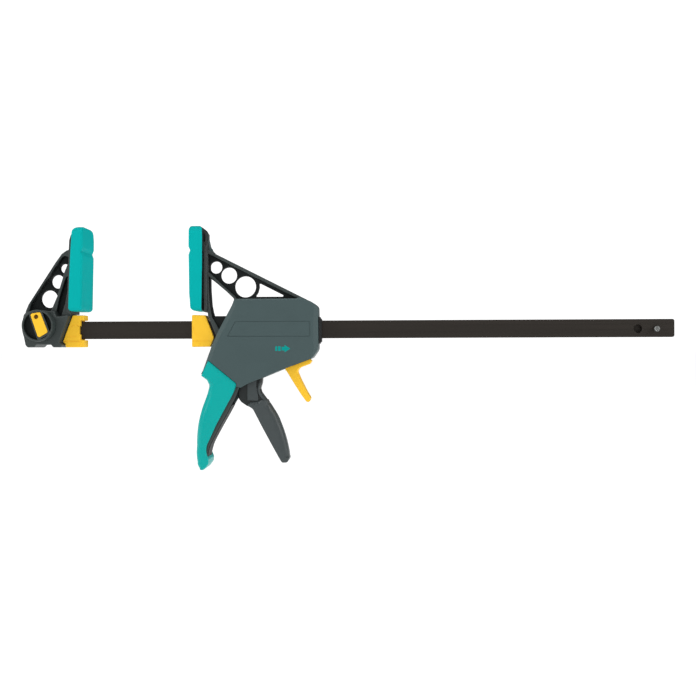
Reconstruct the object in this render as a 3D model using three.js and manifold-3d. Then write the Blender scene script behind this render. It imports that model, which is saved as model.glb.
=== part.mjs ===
// One-handed bar clamp: a flat steel bar with a fixed jaw locked to its left
// end, a pistol-grip head that slides along it, and the ratchet-free drive and
// brake plates inside the head.  Millimetres, +X along the bar towards its free
// end, +Z towards the jaws, +Y away from the side with the locking knob.
import * as THREE from "three";
import * as BufferGeometryUtils from "three/addons/utils/BufferGeometryUtils.js";
import Module from "manifold-3d";

const wasm = await Module();
wasm.setup();

// ---------------------------------------------------------------- dimensions
// Outlines below are drawn in the bar's own plane: x along the bar, z measured
// from the bar's centreline.  The whole clamp is then moved to its origin: the
// middle of its length, its mid-plane, and the tip of the grip at z = 0.
const SHIFT_X = 3.2;
const BAR_Z = 149.5;

const BAR_LEFT = -345.0, BAR_RIGHT = 342.4;   // ends of the bar
const BAR_H = 19.0, BAR_T = 6.0;              // section of the bar
const BAR_CLEAR = 0.4;                        // running clearance round the bar
const LOCK_X = -328.6, LOCK_Z = 4.8;          // axis of the locking knob
const HOLE_Z = -0.6;                          // height of the locking holes
const HOLE_R = 4.7, HOLE_X = 304.8;           // locking hole at the free end
const STOP_X = 323.2, STOP_Z = -0.8, STOP_R = 2.9, STOP_HALF = 7.0;

const PAD_HALF = 16.0;        // half width of the pads
const PLATE_HALF = 11.5;      // half width of the plates that carry the pads
const HOUSING_HALF = 15.0;    // half width of the head housing
const JAW_HALF = 8.0;         // half width of the jaw ribs
const WEB_HALF = 3.0;         // half thickness of the jaw webs
const CORE_HALF = 10.6;       // half width of the handle core
const GRIP_HALF = 14.0;       // half width of the soft grip
const SEAM = 0.15;            // half the gap between the two housing shells
const CAVITY_HALF = 12.6;     // half width of the mechanism space
const TRIGGER_HALF = 9.0;
const LEVER_HALF = 7.0;
const BLOCK_HALF = 6.0;       // half width of the guide blocks on the bar
const KNOB_FRONT = 20.0;      // how far the knob stands out from mid-plane
const JAW_BODY_HALF = 13.0;   // half width of the fixed jaw round the bar

const TRIGGER_PIVOT = [-101.8, -40.9];
const LEVER_PIVOT = [-62.5, -35.5];
const BRAKE_PIVOT = [-50.5, 13.0];
const BRAKE_TILT = 8;         // degrees, brake plate leaning on the bar

// ------------------------------------------------------------------- helpers
const solidOf = (geometry) => {
  const g = geometry.clone();
  g.deleteAttribute("normal");
  g.deleteAttribute("uv");
  const m = BufferGeometryUtils.mergeVertices(g, 1e-4);
  return new wasm.Manifold(new wasm.Mesh({
    numProp: 3,
    vertProperties: new Float32Array(m.attributes.position.array),
    triVerts: new Uint32Array(m.index.array),
  }));
};

const geometryOf = (solid) => {
  const mesh = solid.getMesh();
  const g = new THREE.BufferGeometry();
  g.setAttribute("position", new THREE.BufferAttribute(new Float32Array(mesh.vertProperties), 3));
  g.setIndex(new THREE.BufferAttribute(new Uint32Array(mesh.triVerts), 1));
  g.computeVertexNormals();
  return g;
};

// rounds the corners [x, z, radius] of an outline
const rounded = (points, steps = 3) => {
  const out = [];
  const n = points.length;
  points.forEach((p, i) => {
    const [x, z, r = 0] = p;
    if (!r) { out.push(new THREE.Vector2(x, z)); return; }
    const a = new THREE.Vector2(points[(i + n - 1) % n][0] - x, points[(i + n - 1) % n][1] - z);
    const b = new THREE.Vector2(points[(i + 1) % n][0] - x, points[(i + 1) % n][1] - z);
    const la = a.length(), lb = b.length();
    a.normalize(); b.normalize();
    const half = Math.acos(THREE.MathUtils.clamp(a.dot(b), -1, 1)) / 2;
    const t = Math.min(r / Math.tan(half), la * 0.49, lb * 0.49);
    const rr = t * Math.tan(half);
    const c = a.clone().add(b).normalize().multiplyScalar(rr / Math.sin(half));
    const p0 = a.clone().multiplyScalar(t), p1 = b.clone().multiplyScalar(t);
    let a0 = Math.atan2(p0.y - c.y, p0.x - c.x), a1 = Math.atan2(p1.y - c.y, p1.x - c.x);
    while (a1 - a0 > Math.PI) a1 -= 2 * Math.PI;
    while (a1 - a0 < -Math.PI) a1 += 2 * Math.PI;
    for (let k = 0; k <= steps; k++) {
      const w = a0 + (a1 - a0) * k / steps;
      out.push(new THREE.Vector2(x + c.x + rr * Math.cos(w), z + c.y + rr * Math.sin(w)));
    }
  });
  return out;
};

// a plate with the given outline in the x-z plane, between two y values
const slab = (points, y0, y1, steps = 3) => {
  const g = new THREE.ExtrudeGeometry(new THREE.Shape(rounded(points, steps)),
    { depth: y1 - y0, bevelEnabled: false, steps: 1 });
  g.rotateX(Math.PI / 2);
  g.translate(0, y1, 0);
  return solidOf(g);
};

const block = (x0, x1, y0, y1, z0, z1) => {
  const g = new THREE.BoxGeometry(x1 - x0, y1 - y0, z1 - z0);
  g.translate((x0 + x1) / 2, (y0 + y1) / 2, (z0 + z1) / 2);
  return solidOf(g);
};

const rodY = (x, z, r, y0, y1, sides = 32) => {
  const g = new THREE.CylinderGeometry(r, r, y1 - y0, sides);
  g.translate(x, (y0 + y1) / 2, z);
  return solidOf(g);
};

const joined = (...solids) => solids.reduce((a, b) => a.add(b));
const cut = (solid, ...tools) => tools.reduce((a, b) => a.subtract(b), solid);

// a solid with the given outline in the y-z plane, between two x values
const facing = (points, x0, x1) => {
  const g = new THREE.ExtrudeGeometry(new THREE.Shape(rounded(points, 4)), { depth: x1 - x0, bevelEnabled: false });
  // shape x -> y, shape y -> z, depth -> x
  g.applyMatrix4(new THREE.Matrix4().set(0, 0, 1, x0, 1, 0, 0, 0, 0, 1, 0, 0, 0, 0, 0, 1));
  return solidOf(g);
};

// the y range from a to b on the near (-1) or far (+1) side
const side = (s, a, b) => (s < 0 ? [-b, -a] : [a, b]);

// ----------------------------------------------------------------- materials
const plastic = (color, roughness = 0.5) =>
  new THREE.MeshStandardMaterial({ color, roughness, metalness: 0 });
const steel = (color, roughness = 0.4) =>
  new THREE.MeshStandardMaterial({ color, roughness, metalness: 1 });
const GREY = plastic(0x48565a), DARK = plastic(0x2b302f), TEAL = plastic(0x07a8a5, 0.6);
const YELLOW = plastic(0xf8c33c, 0.45), TRIGGER_GREY = plastic(0x464c4d, 0.4);
const BLACKENED = steel(0x36302a, 0.5), BRIGHT = steel(0xb8babc, 0.3);

const clamp = new THREE.Group();
clamp.position.set(SHIFT_X, 0, BAR_Z);
const piece = (name, solid, material) => {
  const mesh = new THREE.Mesh(geometryOf(solid), material);
  mesh.name = name;
  clamp.add(mesh);
  return mesh;
};

// ------------------------------------------------------------------ the rail
const bar = cut(
  slab([[BAR_LEFT, -BAR_H / 2], [BAR_RIGHT, -BAR_H / 2, 1.6], [BAR_RIGHT, BAR_H / 2, 1.6], [BAR_LEFT, BAR_H / 2]],
    -BAR_T / 2, BAR_T / 2),
  rodY(LOCK_X, HOLE_Z, HOLE_R, -4, 4),
  rodY(HOLE_X, HOLE_Z, HOLE_R, -4, 1.6),
  rodY(STOP_X, STOP_Z, STOP_R + 0.15, -4, 4));
piece("rail_bar", bar, BLACKENED);
piece("end_stop_pin", rodY(STOP_X, STOP_Z, STOP_R, -STOP_HALF, STOP_HALF), BRIGHT);

// ----------------------------------------------------------------- fixed jaw
const FIXED_OUTLINE = [
  [-294.4, 103.4, 1], [-296.4, 102.2, 1.5], [-297.2, 98.0], [-298.2, 86.0, 3], [-304.8, 82.0, 5], [-309.4, 76.0, 5],
  [-319.3, 60.1], [-338.7, 32.4], [-343.6, 24.2, 6], [-347.2, 17.0, 10], [-348.8, 8.0, 10],
  [-348.6, -1.3, 8], [-346.7, -8.0], [-345.1, -16.0, 3], [-342.8, -18.4, 2], [-336.2, -18.4, 2],
  [-333.3, -15.5, 1], [-317.2, -15.5, 1], [-315.0, -18.4, 2], [-306.4, -18.4, 2], [-305.3, -15.2, 1],
  [-308.4, -12.9, 1], [-297.6, 16.2], [-296.8, 17.6, 1],
];
const FIXED_PLATE = [
  [-293.4, 103.4, 1], [-295.8, 102.8, 2], [-297.8, 96.5, 3], [-298.4, 86.0], [-299.1, 51.6], [-299.6, 35.0],
  [-301.0, 19.0, 1.5], [-297.6, 17.2, 1.5], [-296.4, 17.2, 1],
];
const FIXED_LOWER = [
  [-345.6, 20.6, 4], [-347.4, 16.0, 8], [-348.8, 8.0, 10], [-348.6, -1.3, 8], [-346.7, -8.0], [-345.1, -16.0, 3],
  [-342.8, -18.4, 2], [-336.2, -18.4, 2], [-333.3, -15.5, 1], [-317.2, -15.5, 1], [-315.0, -18.4, 2],
  [-306.4, -18.4, 2], [-305.3, -15.2, 1], [-308.4, -12.9, 1], [-297.6, 16.2, 1], [-305.5, 15.3], [-311.9, 15.3],
  [-313.5, 20.6],
];
const FIXED_OUTER_RIB = [
  [-298.4, 87.2], [-302.5, 85.9, 4], [-307.8, 82.2, 4], [-314.6, 72.9], [-344.3, 27.9, 8], [-347.6, 20.0], [-344.0, 18.0],
  [-341.5, 28.8, 4], [-335.9, 37.4], [-325.8, 52.0], [-309.9, 75.0, 4], [-306.4, 79.2, 3], [-303.8, 80.0, 3], [-298.4, 78.2],
];
const FIXED_OUTER_RIB_BACK = [
  [-298.4, 87.2], [-302.5, 85.9, 4], [-307.8, 82.2, 4], [-314.6, 72.9], [-344.3, 27.9, 8], [-347.6, 20.0], [-344.0, 18.0],
  [-341.5, 28.8, 4], [-336.1, 37.7], [-327.0, 52.6], [-312.6, 74.3, 4], [-308.2, 79.4, 3], [-304.5, 82.2, 3], [-298.4, 81.5],
];
const FIXED_DIAGONAL_RIB = [
  [-298.4, 76.0], [-301.2, 71.0, 2], [-305.1, 61.9], [-306.6, 56.2], [-312.6, 36.9], [-317.6, 25.4], [-321.0, 17.0],
  [-314.6, 15.0], [-310.4, 34.2], [-307.9, 42.3], [-303.8, 54.6, 2], [-302.0, 57.8, 1], [-298.4, 58.0],
];
const FIXED_FRONT_RIB = [
  [-299.0, 60.0], [-301.0, 56.2, 1], [-301.4, 42.2, 10], [-303.9, 28.8], [-308.0, 15.9], [-307.0, 10.0], [-300.0, 8.0], [-297.6, 17.0], [-297.6, 60.0],
];
const FIXED_HOLES = [[-307.2, 67.2, 4.9], [-314.7, 52.9, 7.3], [-324.0, 34.1, 9.4]];
const fixedJaw = cut(
  joined(
    slab(FIXED_OUTLINE, -WEB_HALF, WEB_HALF),
    slab(FIXED_PLATE, -PLATE_HALF, PLATE_HALF),
    slab(FIXED_LOWER, -JAW_BODY_HALF, JAW_BODY_HALF),
    slab(FIXED_OUTER_RIB, -JAW_HALF, 0),
    slab(FIXED_OUTER_RIB_BACK, 0, JAW_HALF),
    slab(FIXED_DIAGONAL_RIB, -JAW_HALF, JAW_HALF),
    slab(FIXED_FRONT_RIB, -JAW_HALF, JAW_HALF),
    rodY(LOCK_X, LOCK_Z, 17.0, -JAW_BODY_HALF, KNOB_FRONT, 48),
    block(-296.0, -290.0, -9, 9, 34, 94)),
  ...FIXED_HOLES.map(([x, z, r]) => rodY(x, z, r, -4, 4, 28)),
  block(BAR_LEFT - 0.3, -290, -BAR_T / 2 - 0.3, BAR_T / 2 + 0.3, -BAR_H / 2 - 0.3, BAR_H / 2 + 0.3),
  rodY(LOCK_X, LOCK_Z, 13.5, 15.0, 21, 40),
  rodY(LOCK_X, LOCK_Z, 12.1, -14, -8.0, 40),
  rodY(LOCK_X, HOLE_Z, 4.25, -9, 3.4));
piece("fixed_jaw_frame", fixedJaw, DARK);

// outline of a pad's clamping face, seen along the bar
const padFace = (x0, x1, z0, z1, top, bottom) => facing([
  [-PAD_HALF, z0, bottom], [PAD_HALF, z0, bottom], [PAD_HALF, z1, top], [-PAD_HALF, z1, top]], x0, x1);
const FIXED_PAD = [
  [-293.2, 111.0, 7], [-282.2, 111.0, 2.5], [-281.4, 98.0], [-281.6, 88.4], [-283.1, 84.0, 0.5], [-281.8, 79.6],
  [-282.9, 31.0], [-283.2, 20.0, 4], [-297.3, 20.0, 5.5], [-297.1, 26.5], [-296.6, 42.5], [-294.9, 80.8], [-293.8, 98.0],
];
const FIXED_PAD_SEAT = [[-293.25, 103.6], [-305.0, 103.6], [-305.0, 17.0], [-296.25, 17.0]];
piece("fixed_jaw_pad", cut(
  slab(FIXED_PAD, -PAD_HALF, PAD_HALF).intersect(padFace(-302, -275, 20.0, 111.0, 9.4, 5)),
  slab(FIXED_PAD_SEAT, -PLATE_HALF - 0.15, PLATE_HALF + 0.15),
  block(-297, -289.6, -9.4, 9.4, 33.6, 94.4)), TEAL);
piece("fixed_bar_block", cut(
  slab([[-296.6, 16.2, 1], [-284.3, 16.2, 1], [-284.3, -18.4, 1], [-304.6, -18.4, 1.5], [-304.6, -14.8], [-307.4, -12.4, 1]],
    -BLOCK_HALF, BLOCK_HALF),
  block(-310, -280, -BAR_T / 2 - 0.3, BAR_T / 2 + 0.3, -BAR_H / 2 - 0.3, BAR_H / 2 + 0.3)), YELLOW);

// -------------------------------------------------------------- locking knob
const KNOB_INSERT = [[-336.3, 17.3, 2], [-325.3, 19.1, 2], [-317.1, -2.2, 2], [-327.6, -8.4, 2]];
const KNOB_RECESS = [[-336.7, 17.6, 2.2], [-325.1, 19.5, 2.2], [-316.6, -2.3, 2.2], [-327.7, -8.9, 2.2]];
const KNOB_HANDLE = [[-338.6, 18.8, 2], [-324.2, 21.2, 2], [-314.6, -3.4, 2], [-328.2, -11.4, 2]];
const KNOB_SCREW = [-329.9, 14.1];
const knobRing = rodY(LOCK_X, LOCK_Z, 17.0, -KNOB_FRONT, -13.3, 48);
const knobFloor = rodY(LOCK_X, LOCK_Z, 15.2, -KNOB_FRONT - 1, -15.6, 48);
const knobBar = slab(KNOB_HANDLE, -KNOB_FRONT + 0.4, -15.0).intersect(rodY(LOCK_X, LOCK_Z, 16.0, -KNOB_FRONT, -14.0, 48));
const knob = cut(
  joined(cut(knobRing, knobFloor), knobBar, rodY(LOCK_X, LOCK_Z, 11.8, -14.0, -8.3, 40)),
  rodY(LOCK_X, LOCK_Z, 10.2, -13.6, -8.0, 40),
  slab(KNOB_RECESS, -KNOB_FRONT - 1, -17.6));
piece("lock_knob", knob, DARK);
piece("lock_knob_insert", cut(slab(KNOB_INSERT, -KNOB_FRONT + 0.2, -17.9),
  rodY(KNOB_SCREW[0], KNOB_SCREW[1], 2.4, -KNOB_FRONT - 1, -17.0, 20)), YELLOW);
piece("lock_knob_screw", rodY(KNOB_SCREW[0], KNOB_SCREW[1], 2.0, -KNOB_FRONT + 0.6, -17.9, 20), BRIGHT);
piece("lock_pin", rodY(LOCK_X, HOLE_Z, 4.0, -8.1, 2.0), BRIGHT);

// ------------------------------------------------------- head: housing shells
const PLATE = [[-152.9, 103.8, 1], [-151.2, 104.6, 1.5], [-149.6, 103.0, 1], [-149.3, 22.0, 2], [-150.4, 18.6, 2], [-152.7, 18.6, 1]];
const PLATE_FACE = [
  [-PLATE_HALF, 17.0, 2], [PLATE_HALF, 17.0, 2], [PLATE_HALF, 82.0, 4], [5.0, 92.5, 4], [3.2, 98.0], [3.2, 106.0],
  [-3.2, 106.0], [-3.2, 98.0], [-5.0, 92.5, 4], [-PLATE_HALF, 82.0, 4],
];
const GUSSET = [
  [-151.6, 104.0], [-150.5, 103.2, 0.5], [-149.1, 96.6, 3], [-147.7, 90.1], [-145.8, 85.4, 3], [-142.0, 81.6, 3], [-138.0, 79.0], [-150.0, 79.0],
];
const JAW_WEB = [
  [-150.5, 90.0], [-146.0, 88.0], [-143.6, 82.0], [-84.2, 52.0], [-50.0, 34.0], [-50.0, 26.0],
  [-118.0, 26.0], [-137.0, -4.0], [-141.5, -6.0], [-148.6, 14.5], [-150.5, 26.0],
];
const TOP_RIB = [
  [-150.5, 86.5], [-144.4, 82.9, 2], [-140.7, 80.8], [-50.0, 35.0], [-43.0, 31.5], [-51.0, 31.5], [-150.5, 82.0],
];
const FRONT_RIB = [
  [-150.4, 84.0], [-150.4, 26.0, 8], [-149.0, 14.0], [-140.3, -6.9], [-135.1, -2.5], [-145.0, 14.0], [-147.4, 27.0, 8], [-148.4, 42.0], [-148.8, 84.0],
];
const FRONT_RIB_BACK = [
  [-150.4, 84.0], [-150.4, 26.0, 8], [-149.0, 14.0], [-140.3, -6.9], [-135.1, -2.5], [-145.0, 14.0], [-147.4, 27.0, 8], [-148.4, 42.0], [-149.0, 58.0], [-150.0, 62.0], [-150.0, 84.0],
];
const JAW_POCKET = [
  [-143.8, 14.6, 1], [-128.6, 14.6, 1], [-136.5, -4.0], [-140.6, -5.4],
];
const DIAGONAL_RIB = [
  [-150.0, 62.5], [-145.6, 59.2], [-131.9, 46.2], [-119.5, 35.0], [-116.0, 30.0], [-120.0, 31.8, 1], [-131.9, 43.2], [-145.5, 54.6, 1], [-150.0, 58.5],
];
const WINDOW_SMALL = [-141.5, 67.1, 6.5], WINDOW_MID = [-127.7, 58.3, 8.6], WINDOW_LARGE = [-109.9, 46.1, 11.3];
const WINDOW_TRIANGLE = [[-95.4, 50.2, 1], [-65.8, 35.2, 1], [-99.4, 35.2, 1], [-96.3, 40.0], [-94.9, 45.5]];
const WINDOW_FRONT = [[-148.3, 56.0, 1], [-139.7, 49.1], [-127.7, 38.9], [-121.9, 33.0, 2], [-129.2, 13.9, 1], [-143.4, 13.9, 1], [-146.8, 26.0, 6]];
const HOUSING = [
  [-119.4, 32.4, 2], [-54.0, 32.4], [-50.0, 34.2], [-38.1, 29.0, 4], [-31.4, 24.8, 5], [-31.0, 9.5],
  [-31.3, -22.0, 6], [-37.6, -30.6, 4], [-66.6, -41.5], [-87.4, -50.1], [-105.6, -57.2, 4], [-113.2, -61.6],
  [-155.6, -48.4, 1], [-144.6, -17.7], [-137.4, -1.6],
];
const CORE = [
  [-146.0, -40.0], [-118.0, -48.0], [-115.4, -63.0], [-119.0, -72.6, 2], [-126.6, -87.3], [-137.6, -106.4, 30], [-145.7, -121.6],
  [-148.8, -130.8, 10], [-149.6, -139.0, 2], [-151.8, -141.4, 2], [-156.6, -137.5, 4], [-159.3, -130.0, 10], [-159.4, -115.3, 20],
  [-157.6, -100.0, 20], [-153.8, -85.4], [-147.8, -70.2, 6], [-144.8, -60.7, 4], [-145.0, -55.5, 3], [-151.6, -48.6, 1],
];
const CORE_CLEAR = [
  [-144.0, -34.0], [-112.0, -44.0], [-106.0, -63.0], [-118.7, -72.4], [-126.2, -87.1], [-137.3, -106.3, 30], [-145.4, -121.5],
  [-148.5, -130.9, 10], [-149.2, -139.2, 2], [-151.7, -141.8, 2], [-156.9, -137.7, 4], [-159.7, -130.1, 10], [-159.8, -115.3, 20],
  [-158.0, -99.9, 20], [-154.2, -85.3], [-148.2, -70.0, 6], [-145.2, -60.6, 4], [-145.4, -55.7, 3], [-152.4, -48.6, 1],
];
const GRIP = [
  [-147.6, -32.7, 1], [-117.2, -57.5, 3], [-122.1, -69.3], [-129.2, -81.7], [-140.1, -101.7], [-145.6, -114.1],
  [-150.3, -123.3, 6], [-150.6, -131.4, 5], [-147.6, -138.6, 2], [-148.4, -143.0, 2], [-152.2, -148.3, 3], [-155.4, -150.1, 3],
  [-159.4, -146.7, 5], [-162.0, -138.2, 8], [-162.5, -115.3, 20], [-160.8, -99.6], [-156.9, -84.4], [-150.9, -69.3, 8],
  [-147.9, -60.7, 4], [-148.1, -56.5, 4], [-155.4, -48.6, 1],
];
const TRIGGER_SPACE = [
  [-110.0, -8.0], [-74.0, -8.0], [-74.0, -27.0], [-86.0, -38.0], [-87.7, -45.0], [-87.4, -58.0], [-104.0, -92.0],
  [-117.0, -92.0], [-122.0, -82.2], [-126.2, -77.2], [-131.2, -69.0, 4], [-131.2, -58.0, 4], [-127.0, -46.0], [-119.0, -32.0], [-113.0, -24.0],
];
const LEVER_SPACE = [
  [-69.8, -50.0], [-69.8, -37.0], [-66.5, -31.0], [-66.0, -19.6], [-52.0, -19.6], [-52.0, -33.0], [-55.0, -41.0], [-55.0, -50.0],
];
const SCREWS = [[-117.0, 21.0], [-42.0, 24.2], [-77.0, -36.5], [-133.0, -25.0], [-150.0, -112.0]];

const shell = (s) => {
  const y = (a, b) => side(s, a, b);
  const body = joined(
    slab(PLATE, ...y(SEAM, PLATE_HALF)).intersect(facing(PLATE_FACE, -160, -140)),
    slab(GUSSET, ...y(SEAM, 3.2)),
    cut(slab(JAW_WEB, ...y(SEAM, WEB_HALF)),
      rodY(WINDOW_SMALL[0], WINDOW_SMALL[1], WINDOW_SMALL[2], -4, 4, 24),
      rodY(WINDOW_MID[0], WINDOW_MID[1], WINDOW_MID[2], -4, 4, 28),
      rodY(WINDOW_LARGE[0], WINDOW_LARGE[1], WINDOW_LARGE[2], -4, 4, 32),
      slab(WINDOW_TRIANGLE, -4, 4), slab(WINDOW_FRONT, -4, 4)),
    slab(TOP_RIB, ...y(SEAM, JAW_HALF)),
    slab(s < 0 ? FRONT_RIB : FRONT_RIB_BACK, ...y(SEAM, JAW_HALF)),
    slab(JAW_POCKET, ...y(SEAM, 5.6)),
    slab(DIAGONAL_RIB, ...y(SEAM, JAW_HALF)),
    slab(HOUSING, ...y(SEAM, HOUSING_HALF)),
    slab(CORE, ...y(SEAM, CORE_HALF)));
  const holes = SCREWS.map(([x, z], i) => {
    const top = i === 4 ? CORE_HALF : HOUSING_HALF;
    return s > 0
      ? rodY(x, z, 1.8, -1, 16, 16).add(rodY(x, z, 3.8, top - 3.6, top + 1, 20))
      : rodY(x, z, 1.8, -8, 1, 16);
  });
  return cut(body,
    slab(GRIP, ...y(CORE_HALF + 0.05, HOUSING_HALF + 1)),
    block(-175, -20, ...y(-1, BAR_T / 2 + BAR_CLEAR), -BAR_H / 2 - BAR_CLEAR, BAR_H / 2 + BAR_CLEAR),
    block(-98, -64.3, ...y(-1, CAVITY_HALF), -18, 18),
    block(-60.9, -36, ...y(-1, CAVITY_HALF), -22, 18),
    block(-66.5, -55, ...y(-1, LEVER_HALF + 0.4), -29, -20),
    slab(TRIGGER_SPACE, ...y(-1, TRIGGER_HALF + 0.4)),
    slab(LEVER_SPACE, ...y(-1, LEVER_HALF + 0.4)),
    block(-59.8, -48, ...y(-1, 9.4), -28, -21),
    rodY(TRIGGER_PIVOT[0], TRIGGER_PIVOT[1], 3.1, -12.8, 12.8, 24),
    rodY(LEVER_PIVOT[0], LEVER_PIVOT[1], 2.1, -11.2, 11.2, 20),
    ...holes);
};
piece("housing_front", shell(-1), GREY);
piece("housing_rear", shell(1), GREY);
SCREWS.forEach(([x, z], i) => {
  const top = i === 4 ? CORE_HALF : HOUSING_HALF;
  piece(`housing_screw_${i + 1}`, joined(
    rodY(x, z, 3.4, top - 3.3, top - 0.6, 20),
    rodY(x, z, 1.5, -7.0, top - 3.2, 16)), BRIGHT);
});

piece("handle_grip", cut(
  slab(GRIP, -GRIP_HALF, GRIP_HALF),
  slab(CORE_CLEAR, -CORE_HALF - 0.3, CORE_HALF + 0.3),
  slab([[-147.6, -32.0], [-110.0, -40.0], [-112.0, -56.0], [-117.4, -62.0], [-155.0, -48.9], [-160.0, -46.0]], -CORE_HALF - 0.3, CORE_HALF + 0.3),
  slab([[-160, -20], [-100, -20], [-113.4, -61.4], [-156.2, -48.9]], -CORE_HALF - 0.3, CORE_HALF + 0.3),
  rodY(SCREWS[4][0], SCREWS[4][1], 4.4, 5, 16, 20)), TEAL);

const MOVING_PAD = [
  [-166.9, 111.0, 2.5], [-154.8, 111.0, 11], [-154.3, 96.0], [-153.4, 68.0], [-153.0, 43.0], [-152.8, 24.0], [-152.8, 20.0, 1.5],
  [-164.2, 20.0, 3], [-166.2, 23.3, 2], [-166.9, 31.1], [-167.5, 37.0], [-168.0, 79.5], [-166.5, 83.9, 0.5], [-168.1, 88.0],
  [-167.9, 105.0],
];
piece("moving_jaw_pad", cut(
  slab(MOVING_PAD, -PAD_HALF, PAD_HALF).intersect(padFace(-175, -145, 20.0, 111.0, 9.4, 5)),
  block(-153.9, -148.0, -PLATE_HALF - 0.3, PLATE_HALF + 0.3, 17.0, 104.9),
  block(-157.0, -150.0, -9.4, 9.4, 33.6, 94.4)), TEAL);
piece("moving_pad_key", block(-156.6, -153.05, -9.0, 9.0, 34, 94), DARK);
piece("moving_bar_block", cut(
  slab([[-167.0, 16.1, 1], [-152.4, 15.6, 1], [-143.2, -8.6, 3], [-147.4, -18.2, 1], [-167.0, -18.4, 1]],
    -BLOCK_HALF, BLOCK_HALF),
  block(-170, -140, -BAR_T / 2 - BAR_CLEAR, BAR_T / 2 + BAR_CLEAR, -BAR_H / 2 - BAR_CLEAR, BAR_H / 2 + BAR_CLEAR)), YELLOW);
piece("rear_guide_plate", cut(
  block(-30.7, -27.9, -8, 8, -15.3, 13.3),
  block(-32, -26, -BAR_T / 2 - 0.3, BAR_T / 2 + 0.3, -BAR_H / 2 - 0.3, BAR_H / 2 + 0.3)), DARK);

// ------------------------------------------------------------------- trigger
const TRIGGER = [
  [-118.6, -68.0, 4], [-117.3, -73.6], [-114.4, -77.5, 3], [-108.7, -81.5], [-102.6, -83.7, 2], [-100.8, -85.4, 2],
  [-91.8, -102.8], [-80.6, -123.6], [-72.9, -137.4, 3], [-70.4, -141.8, 3], [-65.0, -141.8, 3], [-62.4, -138.0, 3],
  [-62.8, -131.9, 10], [-65.2, -119.1, 15], [-69.6, -105.2, 20], [-75.4, -91.2, 20], [-83.2, -79.7, 20], [-92.6, -67.0, 3], [-93.8, -63.4, 3],
  [-91.9, -57.0, 2], [-91.0, -46.0], [-92.6, -34.0, 6], [-93.0, -27.0, 4], [-89.6, -20.0], [-89.0, -12.8, 1], [-96.0, -12.0, 1],
  [-101.0, -16.0, 4], [-104.0, -28.0, 8], [-112.0, -34.0, 6], [-118.0, -48.0, 8],
];
piece("trigger", cut(slab(TRIGGER, -TRIGGER_HALF, TRIGGER_HALF, 4),
  rodY(TRIGGER_PIVOT[0], TRIGGER_PIVOT[1], 3.15, -10, 10, 24)), TRIGGER_GREY);
piece("trigger_pivot_pin", rodY(TRIGGER_PIVOT[0], TRIGGER_PIVOT[1], 3.0, -12.5, 12.5, 24), BRIGHT);

// ----------------------------------------------------- drive and brake plates
const drivePlate = (x) => cut(block(x, x + 3.0, -9, 9, -17.0, 15.0),
  block(x - 1, x + 4, -BAR_T / 2 - 0.25, BAR_T / 2 + 0.25, -BAR_H / 2 - 0.3, BAR_H / 2 + 0.3));
piece("drive_plate_1", drivePlate(-88.5), BRIGHT);
piece("drive_plate_2", drivePlate(-85.2), BRIGHT);

const brakeBox = (w, h, d, z) => {
  const g = new THREE.BoxGeometry(w, d, h);
  g.translate(0, 0, z);
  g.rotateY(THREE.MathUtils.degToRad(BRAKE_TILT));
  g.translate(BRAKE_PIVOT[0], 0, BRAKE_PIVOT[1]);
  return solidOf(g);
};
piece("brake_plate", cut(brakeBox(4.0, 39.5, 18, -17.75),
  brakeBox(8.0, 20.4, BAR_T + 0.5, -13.1)), BRIGHT);

// springs are wound round the bar
class Coil extends THREE.Curve {
  constructor(x0, x1, radius, turns) { super(); Object.assign(this, { x0, x1, radius, turns }); }
  getPoint(t, target = new THREE.Vector3()) {
    const a = 2 * Math.PI * this.turns * t;
    return target.set(this.x0 + (this.x1 - this.x0) * t, this.radius * Math.cos(a), this.radius * Math.sin(a));
  }
}
const spring = (x0, x1, radius, turns, wire, sides = 6) => {
  const section = new THREE.Shape(Array.from({ length: sides }, (_, i) =>
    new THREE.Vector2(wire * Math.cos(2 * Math.PI * i / sides), wire * Math.sin(2 * Math.PI * i / sides))));
  return solidOf(new THREE.ExtrudeGeometry(section,
    { extrudePath: new Coil(x0, x1, radius, turns), steps: Math.round(turns * 16), bevelEnabled: false }));
};
piece("drive_spring", spring(-81.2, -65.4, 11.4, 4.5, 0.7), BRIGHT);
piece("brake_spring", spring(-46.6, -37.0, 11.4, 3.0, 0.6), BRIGHT);

// ------------------------------------------------------------- release lever
const LEVER = [
  [-66.8, -42.3, 1], [-40.2, -32.2, 0.8], [-38.4, -33.8, 1], [-40.6, -36.9, 1], [-50.6, -40.6, 2], [-54.1, -44.4, 4], [-50.0, -54.0, 20],
  [-43.6, -66.6], [-39.4, -73.6, 3], [-41.6, -77.9, 3], [-44.4, -76.8, 2], [-49.8, -69.5], [-57.8, -56.8],
];
const LEVER_ARM = [
  [-66.4, -43.9], [-67.0, -36.0, 3], [-64.8, -30.0], [-63.6, -21.0, 1], [-59.9, -21.0, 1], [-58.8, -28.0], [-57.8, -36.0, 3], [-58.6, -42.0],
];
piece("release_lever", cut(
  joined(slab(LEVER, -LEVER_HALF, LEVER_HALF), slab(LEVER_ARM, -LEVER_HALF, LEVER_HALF)),
  rodY(LEVER_PIVOT[0], LEVER_PIVOT[1], 2.15, -8, 8, 20)), YELLOW);
piece("release_pivot_pin", rodY(LEVER_PIVOT[0], LEVER_PIVOT[1], 2.0, -11, 11, 20), BRIGHT);

export default clamp;
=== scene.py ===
"""Looks of the one-handed bar clamp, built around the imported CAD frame.

Outlines are drawn in millimetres in the bar's own plane (x along the bar, z from
the bar's centreline, y across it) and moved onto the frame by the bar's node.
"""

import math

import bmesh
import bpy
from mathutils import Matrix, Vector


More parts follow.
